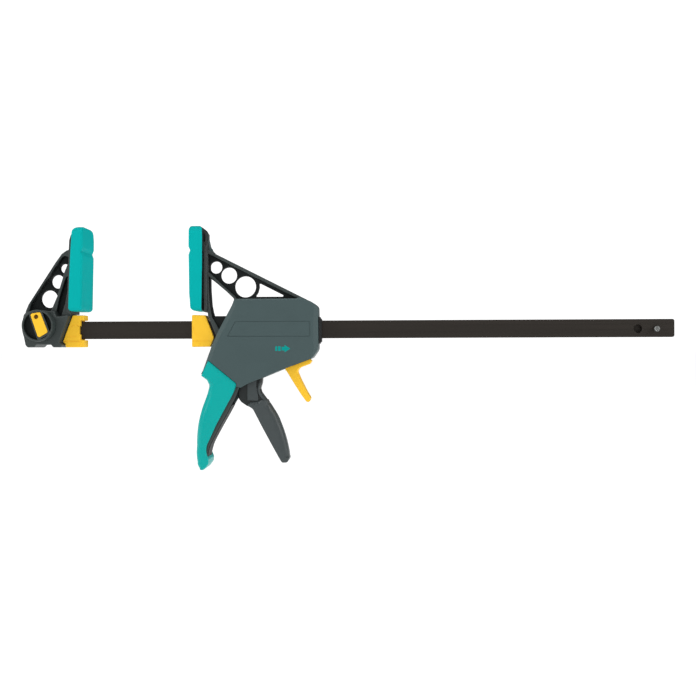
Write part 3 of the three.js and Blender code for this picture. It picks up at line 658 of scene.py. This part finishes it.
# ---------------------------------------------------------------------- knob
KX, KZ = -328.6, 4.8
ring = lathe_y(KX, KZ, [(14.9, -15.0), (14.9, -18.9), (15.15, -19.6), (15.7, -20.0), (16.2, -20.0), (16.75, -19.6), (17.0, -18.9),
                        (17.0, -13.9), (16.6, -13.3), (14.9, -13.3)], 96)
base = lathe_y(KX, KZ, [(0, -15.6), (15.2, -15.6), (15.2, -13.3), (11.8, -13.3), (11.8, -8.3), (10.2, -8.3), (10.2, -13.6), (0, -13.6)], 96)
HANDLE = [(-338.6, 18.8, 2), (-324.2, 21.2, 2), (-314.6, -3.4, 2), (-328.2, -11.4, 2)]
RECESS = [(-336.7, 17.6, 2.2), (-325.1, 19.5, 2.2), (-316.6, -2.3, 2.2), (-327.7, -8.9, 2.2)]
INSERT = [(-336.3, 17.3, 2.0), (-325.3, 19.1, 2.0), (-317.1, -2.2, 2.0), (-327.6, -8.4, 2.0)]
bar_h = common(slab(HANDLE, -19.6, -15.0, 0.6, back=0.1), rod(KX, KZ, 16.0, -20.0, -14.0, 96))
knob = subtract(unite(base, ring, bar_h), slab(RECESS, -22.0, -17.6, 0.05))
tidy(dress(knob, M_JAW, M_WEB_AND_SHADE))
# Painted shade: the floor of the hollow inside the ring and the walls facing into it, the handle's sides among them,
# get the dark web grey.
paint(knob, 1, lambda x, y, z, n: -15.75 < y < -14.9 or (y > -19.5 and math.hypot(x - KX, z - KZ) < 14.95 and abs(n.y) < 0.5))
place(knob, "lock_knob_body", "lock_knob", "jaw_plastic", "lock_knob")

ins = slab(INSERT, -19.8, -17.9, 0.5, back=0.1)
sx, sz = -329.9, 14.1
ins = subtract(ins, lathe_y(sx, sz, [(0, -22), (2.9, -22), (2.7, -19.7), (2.4, -19.3), (2.4, -17), (0, -17)], 40))
tidy(dress(ins, M_YELLOW))
place(ins, "lock_knob_cap", "lock_knob", "yellow_plastic", "lock_knob_insert")
scr = lathe_y(sx, sz, [(0, -19.3), (1.5, -19.25), (2.0, -18.9), (2.0, -17.9), (0, -17.9)], 32)
scr = subtract(scr, box(sx - 0.28, sx + 0.28, -20, -18.7, sz - 1.3, sz + 1.3), box(sx - 1.3, sx + 1.3, -20, -18.7, sz - 0.28, sz + 0.28))
tidy(dress(scr, metal("screw_brown", (120, 92, 48), rough=0.4, streak=(300, 300, 300))))
place(scr, "lock_knob_fixing", "lock_knob", "bright_steel", "lock_knob_screw")

# ---------------------------------------------------------------------- head
PLATE = [(-152.9, 103.8, 1), (-151.2, 104.6, 1.5), (-149.6, 103.0, 1), (-149.3, 22.0, 2), (-150.4, 18.6, 2), (-152.7, 18.6, 1)]
PLATE_FACE = [
    (-PLATE_HALF, 17.0, 2), (PLATE_HALF, 17.0, 2), (PLATE_HALF, 82.0, 4), (5.0, 92.5, 4), (3.2, 98.0), (3.2, 106.0),
    (-3.2, 106.0), (-3.2, 98.0), (-5.0, 92.5, 4), (-PLATE_HALF, 82.0, 4)]
GUSSET = [
    (-151.6, 104.0), (-150.5, 103.2, 0.5), (-149.1, 96.6, 3), (-147.7, 90.1), (-145.8, 85.4, 3), (-142.0, 81.6, 3),
    (-138.0, 79.0), (-150.0, 79.0)]
WEB = [
    (-150.5, 90.0), (-146.2, 87.4), (-144.0, 81.8), (-84.2, 51.6), (-50.0, 33.6), (-50.0, 26.0),
    (-118.0, 26.0), (-136.8, -4.0), (-141.0, -5.4), (-148.2, 14.5), (-150.3, 26.0)]
TOP_RIB = [
    (-150.5, 86.5), (-144.4, 82.9, 2), (-140.7, 80.8), (-50.0, 35.0), (-43.0, 31.5), (-51.0, 31.5), (-150.5, 82.0)]
FRONT_RIB = [
    (-150.4, 84.0), (-150.4, 26.0, 8), (-149.0, 14.0), (-140.3, -6.9), (-135.1, -2.5), (-145.0, 14.0), (-147.4, 27.0, 8),
    (-148.4, 42.0), (-148.8, 84.0)]
FRONT_RIB_BACK = [
    (-150.4, 84.0), (-150.4, 26.0, 8), (-149.0, 14.0), (-140.3, -6.9), (-135.1, -2.5), (-145.0, 14.0), (-147.4, 27.0, 8),
    (-148.4, 42.0), (-149.0, 58.0), (-150.0, 62.0), (-150.0, 84.0)]
JAW_POCKET = [(-143.8, 14.6, 1), (-128.6, 14.6, 1), (-136.5, -4.0), (-140.6, -5.4)]
DIAGONAL_RIB = [
    (-150.0, 62.5), (-145.6, 59.2), (-131.9, 46.2), (-119.5, 35.0), (-116.0, 30.0), (-120.0, 31.8, 1), (-131.9, 43.2),
    (-145.5, 54.6, 1), (-150.0, 58.5)]
WINDOW_TRIANGLE = [(-95.4, 50.2, 1), (-65.8, 35.2, 1), (-99.4, 35.2, 1), (-96.3, 40.0), (-94.9, 45.5)]
WINDOW_FRONT = [
    (-148.3, 56.0, 1), (-139.7, 49.1), (-127.7, 38.9), (-121.9, 33.0, 2), (-129.2, 13.9, 1), (-143.4, 13.9, 1), (-146.8, 26.0, 6)]
JAW_INNER = [
    (-149.6, 85.0), (-144.6, 81.6), (-140.9, 79.6), (-51.0, 34.2), (-54.0, 32.45), (-119.4, 32.45), (-137.4, -1.5), (-139.6, -5.6),
    (-147.9, 14.2), (-149.4, 26.0)]
HOUSING = [
    (-119.4, 32.4, 2, 3.4), (-100.0, 32.4, 0, 1.6), (-54.0, 32.4, 0, 1.6), (-50.0, 34.2, 4, 1.6), (-38.1, 29.0, 4, 2.0), (-31.4, 24.8, 5, 3.6),
    (-31.0, 12.0, 0, 5.2), (-31.0, -14.0, 0, 5.2), (-31.3, -22.0, 6, 3.6), (-37.6, -30.6, 4, 1.0), (-66.6, -41.5, 0, 0.6), (-87.4, -50.1, 0, 0.6),
    (-105.6, -57.2, 4, 0.6), (-113.2, -61.6, 0, 0.6), (-155.6, -48.4, 1, 1.0), (-153.6, -43.0, 0, 4.4), (-144.6, -17.7, 0, 5.0),
    (-137.4, -1.6, 0, 5.0), (-122.5, 26.0, 0, 5.0)]
CORE = [
    (-146.0, -40.0), (-118.0, -48.0), (-115.4, -63.0, 0, 1.2), (-119.0, -72.6, 60, 2.0), (-126.6, -87.3, 400, 2.6), (-137.6, -106.4, 400, 2.6),
    (-145.7, -121.6, 400, 2.6), (-148.8, -130.8, 60, 2.0), (-149.6, -139.0, 2, 1.4), (-151.8, -141.4, 2, 1.4), (-156.6, -137.5, 4, 4),
    (-159.3, -130.0, 60, 5.6), (-159.4, -115.3, 400, 5.6), (-157.6, -100.0, 400, 5.6), (-153.8, -85.4, 400, 5.6), (-147.8, -70.2, 12, 4.5),
    (-144.8, -60.7, 5, 3.5), (-145.0, -55.5, 4, 3.5), (-151.6, -48.6, 1, 1.0)]
CORE_CLEAR = [
    (-144.0, -34.0), (-112.0, -44.0), (-106.0, -63.0), (-118.7, -72.4, 60), (-126.2, -87.1, 400), (-137.3, -106.3, 400), (-145.4, -121.5, 400),
    (-148.5, -130.9, 60), (-149.2, -139.2, 2), (-151.7, -141.8, 2), (-156.9, -137.7, 4, 3.4), (-159.7, -130.1, 60, 4.8),
    (-159.8, -115.3, 400, 4.8), (-158.0, -99.9, 400, 4.8), (-154.2, -85.3, 400, 4.8), (-148.2, -70.0, 12, 3.8), (-145.2, -60.6, 5, 2.8),
    (-145.4, -55.7, 4, 2.8), (-152.4, -48.6, 1, 0.5)]
GRIP = [
    (-147.6, -32.7, 1, 0.7), (-117.2, -57.5, 3, 0.7), (-122.1, -69.3, 400, 0.8), (-129.2, -81.7, 400, 0.8), (-140.1, -101.7, 400, 0.8),
    (-145.6, -114.1, 400, 0.8), (-150.3, -123.3, 30, 0.8), (-150.4, -131.4, 14, 1.0), (-147.6, -138.0, 3, 1.4), (-148.1, -142.6, 5, 2.0),
    (-152.2, -148.3, 9, 2.8), (-156.2, -149.9, 8, 4.2), (-160.2, -145.6, 14, 6.0), (-162.0, -136.0, 60, 7.4), (-162.5, -115.3, 400, 9.8),
    (-160.8, -99.6, 400, 9.8), (-156.9, -84.4, 400, 9.8), (-150.9, -69.3, 30, 9.2), (-147.9, -60.7, 9, 7.2), (-149.4, -54.6, 7, 5.2),
    (-155.3, -48.7, 1, 1.6)]
GRIP_CUT = [
    (-147.4, -32.2, 1), (-116.7, -57.3, 3), (-121.6, -69.4, 400), (-128.7, -81.9, 400), (-139.6, -101.9, 400), (-145.1, -114.3, 400),
    (-149.8, -123.4, 30), (-149.9, -131.3, 14), (-147.1, -138.2, 3), (-147.2, -144.0, 1), (-170.0, -152.0), (-170.0, -48.6), (-155.8, -48.4)]
TRIGGER_SPACE = [
    (-110.0, -8.0), (-74.0, -8.0), (-74.0, -27.0), (-86.0, -38.0), (-87.7, -45.0), (-87.4, -58.0), (-104.0, -92.0),
    (-117.0, -92.0), (-122.0, -82.2), (-126.2, -77.2), (-131.2, -69.0, 4), (-131.2, -58.0, 4), (-127.0, -46.0), (-119.0, -32.0), (-113.0, -24.0)]
LEVER_SPACE = [
    (-69.8, -50.0), (-69.8, -37.0), (-66.5, -31.0), (-66.0, -19.6), (-52.0, -19.6), (-52.0, -33.0), (-55.0, -41.0), (-55.0, -50.0)]
SCREWS = [(-117.0, 21.0), (-42.0, 24.2), (-77.0, -36.5), (-133.0, -25.0), (-150.0, -112.0)]
SEAM = 0.15


def shell(front):
    web = slab(WEB, -3, -SEAM, 0.3, back=0.1)
    web = subtract(web, hole(-141.5, 67.1, 6.5, -3, 3, 0.8, deep=2.7), hole(-127.7, 58.3, 8.6, -3, 3, 0.9, deep=2.7),
                   hole(-109.9, 46.1, 11.3, -3, 3, 1.0, deep=2.7),
                   window(WINDOW_TRIANGLE, -3, 3, 0.5), window(WINDOW_FRONT, -3, 3, 0.5))
    s = unite(
        web,
        common(slab(PLATE, -PLATE_HALF, -SEAM, 0.7, back=0.25), facing(PLATE_FACE, -160, -140)),
        slab(GUSSET, -3.2, -SEAM, 1.4, back=0.25, prof=5),
        slab(TOP_RIB, -JAW_HALF, -SEAM, 1.2, back=0.25, prof=6),
        slab(FRONT_RIB if front else FRONT_RIB_BACK, -JAW_HALF, -SEAM, 0.9, back=0.25, prof=5),
        slab(JAW_POCKET, -5.6, -SEAM, 0.3, back=0.1),
        slab(DIAGONAL_RIB, -JAW_HALF, -SEAM, 0.9, back=0.25, prof=5),
        slab(HOUSING, -15, -SEAM, 1.0, back=0.25, own="y0", prof=5, steps=8, ratio=0.8, bevel=True),
        slab(CORE, -10.6, -SEAM, 0.8, back=0.25, prof=6, own="y0"))
    cuts = [
        slab(GRIP_CUT, -17, -10.65, 0.02),
        box(-175, -20, -3.4, 1, -9.9, 9.9),
        box(-98, -64.3, -12.6, 1, -18, 18),
        box(-60.9, -36, -12.6, 1, -22, 18),
        box(-66.5, -55, -7.4, 1, -29, -20),
        slab(TRIGGER_SPACE, -9.4, 1, 0.05),
        slab(LEVER_SPACE, -7.4, 1, 0.05),
        box(-59.8, -48, -9.4, 1, -28, -21),
        rod(-101.8, -40.9, 3.1, -12.8, 1, 32),
        rod(-62.5, -35.5, 2.1, -11.2, 1, 24)]
    if front:
        cuts += [rod(x, z, 1.8, -8, 1, 24) for x, z in SCREWS]
    else:
        cuts.append(box(-150.05, -148.5, -12.5, -3.25, 60.0, 81.0))
    s = subtract(s, *cuts)
    return s


front = shell(True)
rear = mirrored(shell(False), "rear")
# the long panel in the front of the housing, set off by a fine groove, left plain
PANEL = [(-118.6, 8.6, 0.4), (-127.2, -7.6, 0.4), (-40.6, -7.8, 0.4), (-39.2, -6.4, 0.4), (-39.2, 7.4, 0.4), (-40.4, 8.6, 0.4)]
PANEL_IN = [(-118.2, 8.0, 0.3), (-126.2, -7.0, 0.3), (-40.8, -7.2, 0.3), (-39.8, -6.2, 0.3), (-39.8, 7.2, 0.3), (-40.6, 8.0, 0.3)]
front = subtract(front, subtract(slab(PANEL, -16, -14.6, 0.02, back=0.1, prof=2), slab(PANEL_IN, -17, -14.0, 0.02)))
front = subtract(front, slab(PANEL_IN, -16, -14.85, 0.02, back=0.05, prof=2))
for x, z in SCREWS:
    top = 10.6 if x == -150.0 else 15.0
    rear = subtract(rear, rod(x, z, 1.8, -1, 16, 24), lathe_y(x, z, [(0, top - 3.6), (3.8, top - 3.6), (3.8, top - 0.4), (4.3, top + 0.05), (4.3, top + 2), (0, top + 2)], 40))
for ob, name, node in ((front, "housing_shell_front", "housing_front"), (rear, "housing_shell_rear", "housing_rear")):
    tidy(dress(ob, M_HOUSING, M_JAW, M_WEB_AND_SHADE), 24)
    paint(ob, 1, lambda x, y, z, n: (x < -147.5 and z > 17) or (abs(y) <= 8.05 and z > 31 and z > 32.5 - 0.5 * max(0, x + 50)) or (x < -119 and z > -8 and abs(y) <= 8.05 and z > -1.55 * (x + 137.4) * -1 - 2 and not within(HOUSING, x, z)))
    # Painted shade: the right-facing walls of the core and of the trigger's opening, below the housing, get the dark
    # web grey.
    paint(ob, 2, lambda x, y, z, n: z < -62 and n.x > 0.6 and abs(y) < 10.0)
    paint(ob, 1, lambda x, y, z, n: n.x < 0.6 and z < -49 and x < -112 and abs(y) < 10.7 and z < -49 - 0.31 * (x + 155.6) - 0.6)
    # Partly painted shade: the moving jaw's web and the inner walls of its ribs get the dark web grey; some of it is
    # the web's darker plastic, the rest stands in for the shade in the recess.
    paint(ob, 2, lambda x, y, z, n: abs(y) < 6.9 and within(JAW_INNER, x, z))
    # Painted highlight: the gusset's middle faces go back to the lighter housing grey, standing in for the light the
    # gusset catches.
    paint(ob, 0, lambda x, y, z, n: abs(y) < 3.3 and x > -149.4 and z > 84.0 and z > 83.6 - 0.57 * (x + 144.4))
    place(ob, name, "head", "housing_plastic", node)

grip = slab(GRIP, -14, 14, 0.8, prof=10, steps=8, ratio=1.2)
grip = subtract(
    grip,
    slab(CORE_CLEAR, -10.9, 10.9, 0.02, prof=6),
    slab([(-147.6, -32.0), (-110.0, -40.0), (-112.0, -56.0), (-117.4, -62.0), (-155.0, -48.9), (-160.0, -46.0)], -10.9, 10.9, 0.02),
    slab([(-160, -20), (-100, -20), (-113.4, -61.4), (-156.2, -48.9)], -10.9, 10.9, 0.02),
    rod(-150.0, -112.0, 4.4, 5, 16, 40))
tidy(dress(grip, M_GRIP), 40)
place(grip, "grip_cover", "head", "grip_teal", "handle_grip")

MOVING_PAD = [
    (-166.9, 110.9, 2.5, 2.0), (-153.3, 110.9, 6), (-153.1, 96.0), (-153.4, 68.0), (-153.8, 43.0), (-154.1, 24.0), (-154.1, 20.1, 1.5),
    (-164.2, 20.1, 3), (-166.2, 23.3, 2), (-166.9, 31.1, 0, 2.0), (-167.5, 37.0, 0, 2.0), (-168.0, 79.5, 0, 2.0), (-166.3, 83.9, 0.3, 1.6), (-168.1, 88.0, 0, 2.0),
    (-167.9, 105.0, 0, 2.0)]
pad = common(slab(MOVING_PAD, -15.95, 15.95, 0.7, prof=5), pad_face(-175, -145, 20.1, 110.9, 9.4, 5))
pad = subtract(pad, box(-153.9, -148.0, -PLATE_HALF - 0.3, PLATE_HALF + 0.3, 17.0, 104.9), box(-157.0, -150.0, -9.4, 9.4, 33.6, 94.4))
remesh(pad, 0.45, smooth=2)
tidy(dress(pad, M_TEAL, M_WEB_AND_SHADE), 60, weighted=False)
# Painted shadow: the pad's back faces get the dark web grey, standing in for the shadow between the pad and its plate.
paint(pad, 1, lambda x, y, z, n: x > -156.5 and abs(y) < 15.3 and n.x > 0.5)
place(pad, "moving_pad", "head", "pad_teal", "moving_jaw_pad")

MOVING_BLOCK = [(-167.0, 16.1, 1.4), (-152.4, 15.6, 1), (-143.2, -8.6, 3), (-147.4, -18.2, 1), (-167.0, -18.4, 1)]
blk = slab(MOVING_BLOCK, -6, 6, 0.7)
blk = subtract(blk, box(-170, -140, -3.4, 3.4, -9.9, 9.9),
               box(-166.2, -145.2, -7, -5.55, -12.2, -11.7), box(-166.2, -145.2, 5.55, 7, -12.2, -11.7),
               arc_groove(-157.0, 1.2, 8.0, 160, 262, -7, -5.7), arc_groove(-157.0, 1.2, 8.0, 160, 262, 5.7, 7))
tidy(dress(blk, M_YELLOW))
place(blk, "moving_bar_guide", "head", "yellow_plastic", "moving_bar_block")

guide = unite(slab([(-30.7, 13.3, 0.3), (-29.2, 13.3, 0.8), (-29.2, -15.3, 0.8), (-30.7, -15.3, 0.3)], -8, 8, 0.5),
              slab([(-30.5, 11.6, 0.3), (-27.9, 11.6, 0.8), (-27.9, -13.6, 0.8), (-30.5, -13.6, 0.3)], -7, 7, 0.5))
guide = subtract(guide, box(-32, -26, -3.3, 3.3, -9.8, 9.8))
tidy(dress(guide, M_BLACK))
place(guide, "rear_guide", "head", "guide_plastic", "rear_guide_plate")

# direction mark printed on the housing: two bars and an arrowhead
for i, pts in enumerate((
        [(-76.0, -17.9), (-76.0, -22.9), (-73.9, -22.9), (-73.9, -17.9)],
        [(-73.1, -17.9), (-73.1, -22.9), (-70.4, -22.9), (-70.4, -17.9)],
        [(-69.4, -18.4), (-66.2, -18.4), (-66.2, -16.4), (-60.2, -20.4), (-66.2, -24.4), (-66.2, -22.4), (-69.4, -22.4)])):
    mark = slab(pts, -15.06, -14.8, 0.01)
    tidy(dress(mark, M_PRINT))
    place(mark, f"direction_mark_{i + 1}", "head", "pad_teal")

# ------------------------------------------------------------------- trigger
LEVER_PART = [
    (-107.6, -80.8, 2, 3.0), (-102.6, -83.7, 2, 1.6), (-100.8, -85.4, 3, 1.2), (-91.8, -102.8, 400, 1.2), (-80.6, -123.6, 400, 1.2), (-72.9, -137.4, 6, 1.2),
    (-70.4, -141.6, 3, 1.6), (-65.0, -141.6, 3, 2.2), (-62.5, -138.0, 4, 4.0), (-62.9, -131.9, 100, 7.8), (-65.3, -119.1, 400, 8.6), (-69.7, -105.2, 400, 8.6),
    (-75.5, -91.2, 400, 8.0), (-83.3, -79.7, 60, 6.4), (-86.8, -75.2, 1.0, 5.0), (-91.4, -74.8, 1, 5.4), (-96.0, -76.2, 3, 5.4), (-104.0, -77.4, 3, 4.6)]
HUB = [
    (-118.6, -68.0, 4), (-117.3, -73.6, 6), (-114.4, -77.5, 6), (-108.7, -81.5, 6), (-102.6, -83.7, 2), (-96.0, -86.0), (-86.0, -80.0), (-83.6, -79.6),
    (-92.7, -67.0, 3), (-93.9, -63.4, 3), (-92.0, -57.0, 4), (-91.0, -46.0), (-92.6, -34.0, 6), (-93.0, -27.0, 4), (-89.6, -20.0),
    (-89.0, -12.8, 1), (-96.0, -12.0, 1), (-101.0, -16.0, 4), (-104.0, -28.0, 8), (-112.0, -34.0, 6), (-118.0, -48.0, 12)]
HUB_PANEL = [(-107.6, -50.0), (-107.6, -75.6, 1.2), (-95.4, -76.2, 1.2), (-95.9, -68.0, 3), (-97.2, -62.0, 3), (-96.4, -50.0)]
RIM = [(-91.9, -46.0), (-92.7, -57.0, 3), (-94.3, -63.2, 3), (-93.2, -67.2, 3), (-83.9, -79.9), (-86.6, -81.4), (-95.4, -68.4, 3), (-96.5, -63.2, 3), (-95.0, -57.0, 3), (-94.2, -46.0)]
trg = unite(
    slab(LEVER_PART, -9, 9, 0.8, prof=8, steps=8, ratio=0.8),
    slab(HUB, -5.6, 5.6, 2.4, prof=6),
    slab(HUB_PANEL, -6.6, 6.6, 0.7, prof=4),
    slab(RIM, -7.4, 7.4, 1.0, prof=6))
trg = subtract(trg, rod(-101.8, -40.9, 3.15, -12, 12, 40))
tidy(dress(trg, M_TRIGGER, M_HUB_SHADE))
# Painted shade: the recessed hub and the neck that runs up under the housing get the dark hub grey.
paint(trg, 1, lambda x, y, z, n: abs(y) < 5.75 and z > -82.0 + 0.55 * (x + 108) and not (abs(y) > 5.65 and x > -100) or z > -57.0)
place(trg, "trigger_lever", "trigger", "trigger_plastic", "trigger")

# ------------------------------------------------------------- release lever
LEVER = [
    (-66.8, -41.75, 1, 0.3), (-40.4, -31.8, 0.8, 0.3), (-38.4, -33.7, 1, 1.0), (-40.6, -36.9, 1), (-50.6, -40.6, 2), (-54.1, -44.4, 4), (-50.0, -54.0, 20),
    (-43.6, -66.6), (-39.4, -73.6, 3), (-41.6, -77.8, 3), (-44.4, -76.7, 2), (-49.8, -69.5), (-57.8, -56.8)]
LEVER_ARM = [
    (-66.4, -43.9), (-67.0, -36.0, 3), (-64.8, -30.0), (-63.6, -21.0, 1), (-59.9, -21.0, 1), (-58.8, -28.0), (-57.8, -36.0, 3), (-58.6, -42.0)]
lev = unite(slab(LEVER, -7, 7, 1.2, prof=5), slab(LEVER_ARM, -6.9, 6.9, 0.5))
lev = subtract(lev, rod(-62.5, -35.5, 2.15, -12, 12, 32))
tidy(dress(lev, M_YELLOW))
place(lev, "release_lever_body", "release_lever", "yellow_plastic", "release_lever")

# ---------------------------------------------- screws, pins and inner pieces
for i, (x, z) in enumerate(SCREWS):
    top = 10.6 if i == 4 else 15.0
    y1 = top - 0.6
    s = lathe_y(x, z, [(0, -7), (1.0, -7), (1.5, -6.2), (1.5, top - 3.3), (3.1, top - 3.3), (3.4, top - 3.0), (3.4, y1 - 0.9), (3.0, y1 - 0.35), (2.2, y1 - 0.05), (0, y1)], 40)
    s = subtract(s, box(x - 0.4, x + 0.4, y1 - 1.3, y1 + 1, z - 2.0, z + 2.0), box(x - 2.0, x + 2.0, y1 - 1.3, y1 + 1, z - 0.4, z + 0.4))
    tidy(dress(s, M_ZINC))
    place(s, f"shell_screw_{i + 1}", "head", "bright_steel", f"housing_screw_{i + 1}")

for node, mat in (("trigger_pivot_pin", M_ZINC), ("release_pivot_pin", M_ZINC), ("lock_pin", M_ZINC), ("drive_plate_1", M_PLATE),
                  ("drive_plate_2", M_PLATE), ("brake_plate", M_PLATE), ("moving_pad_key", M_JAW)):
    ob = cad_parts[node]
    ob.data.materials.clear()
    ob.data.materials.append(mat)


def spring(x0, x1, radius, turns, wire, name):
    cu = bpy.data.curves.new(name, "CURVE")
    cu.dimensions = "3D"
    cu.bevel_depth = wire / 1000
    cu.bevel_resolution = 3
    cu.use_fill_caps = True
    n = int(turns * 24)
    sp = cu.splines.new("POLY")
    sp.points.add(n)
    for i in range(n + 1):
        t = i / n
        a = 2 * math.pi * turns * t
        p = V(x0 + (x1 - x0) * t, radius * math.cos(a), radius * math.sin(a))
        sp.points[i].co = (p.x, p.y, p.z, 1)
    cu.materials.append(M_SPRING)
    ob = bpy.data.objects.new(name, cu)
    scene.collection.objects.link(ob)
    dg = bpy.context.evaluated_depsgraph_get()
    dg.update()
    me = bpy.data.meshes.new_from_object(ob.evaluated_get(dg))
    bpy.data.objects.remove(ob)
    ob = bpy.data.objects.new(name, me)
    scene.collection.objects.link(ob)
    for p in me.polygons:
        p.use_smooth = True
    return ob


s1 = spring(-81.2, -65.4, 11.4, 4.5, 0.7, "drive_coil")
s2 = spring(-46.6, -37.0, 11.4, 3.0, 0.6, "brake_coil")
place(s1, "drive_coil", "head", "spring_steel", "drive_spring")
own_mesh(s1)
place(s2, "brake_coil", "head", "spring_steel", "brake_spring")

# -------------------------------------------------------------- floor, light
FLOOR_GLOW, STUDIO = 0.94, 0.22


def plane(name, size, loc, mat):
    me = bpy.data.meshes.new(name)
    h = size / 2
    me.from_pydata([(-h, -h, 0), (h, -h, 0), (h, h, 0), (-h, h, 0)], [], [(0, 1, 2, 3)])
    ob = bpy.data.objects.new(name, me)
    ob.location = loc
    scene.collection.objects.link(ob)
    me.materials.append(mat)
    return ob


floor_mat = bpy.data.materials.new("floor")
floor_mat.use_nodes = True
fb = floor_mat.node_tree.nodes["Principled BSDF"]
fb.inputs["Base Color"].default_value = (0.3, 0.3, 0.3, 1)
fb.inputs["Roughness"].default_value = 0.95
fb.inputs["Specular IOR Level"].default_value = 0.0
fb.inputs["Emission Color"].default_value = (1, 1, 1, 1)
fb.inputs["Emission Strength"].default_value = FLOOR_GLOW
floor = plane("floor", 40, (0, 0, 0), floor_mat)

# a white studio: the background is bright where it is seen, softer where it lights the object
world = bpy.data.worlds.new("world")
scene.world = world
world.use_nodes = True
wt = world.node_tree
bg = wt.nodes["Background"]
bg.inputs["Color"].default_value = (1, 1, 1, 1)
path = wt.nodes.new("ShaderNodeLightPath")
level = wt.nodes.new("ShaderNodeMapRange")
level.inputs["To Min"].default_value = STUDIO
level.inputs["To Max"].default_value = 1.15
wt.links.new(path.outputs["Is Camera Ray"], level.inputs["Value"])
wt.links.new(level.outputs["Result"], bg.inputs["Strength"])


def area(name, loc, target, size, energy, size_y=None):
    d = bpy.data.lights.new(name, "AREA")
    d.energy = energy
    d.shape = "RECTANGLE"
    d.size = size
    d.size_y = size_y or size
    o = bpy.data.objects.new(name, d)
    o.location = loc
    o.rotation_euler = (Vector(target) - Vector(loc)).to_track_quat("-Z", "Y").to_euler()
    scene.collection.objects.link(o)
    return o


area("key", (-1.55, -0.6, 0.85), (-0.12, 0, 0.12), 0.45, 12.5, 1.2)
area("fill", (1.6, -0.6, 0.85), (-0.1, 0, 0.12), 0.45, 14, 1.2)
area("front", (0.1, -1.7, 1.0), (-0.1, 0, 0.13), 1.0, 5)
area("top", (-0.2, -0.3, 1.6), (-0.1, 0, 0.15), 0.6, 5)
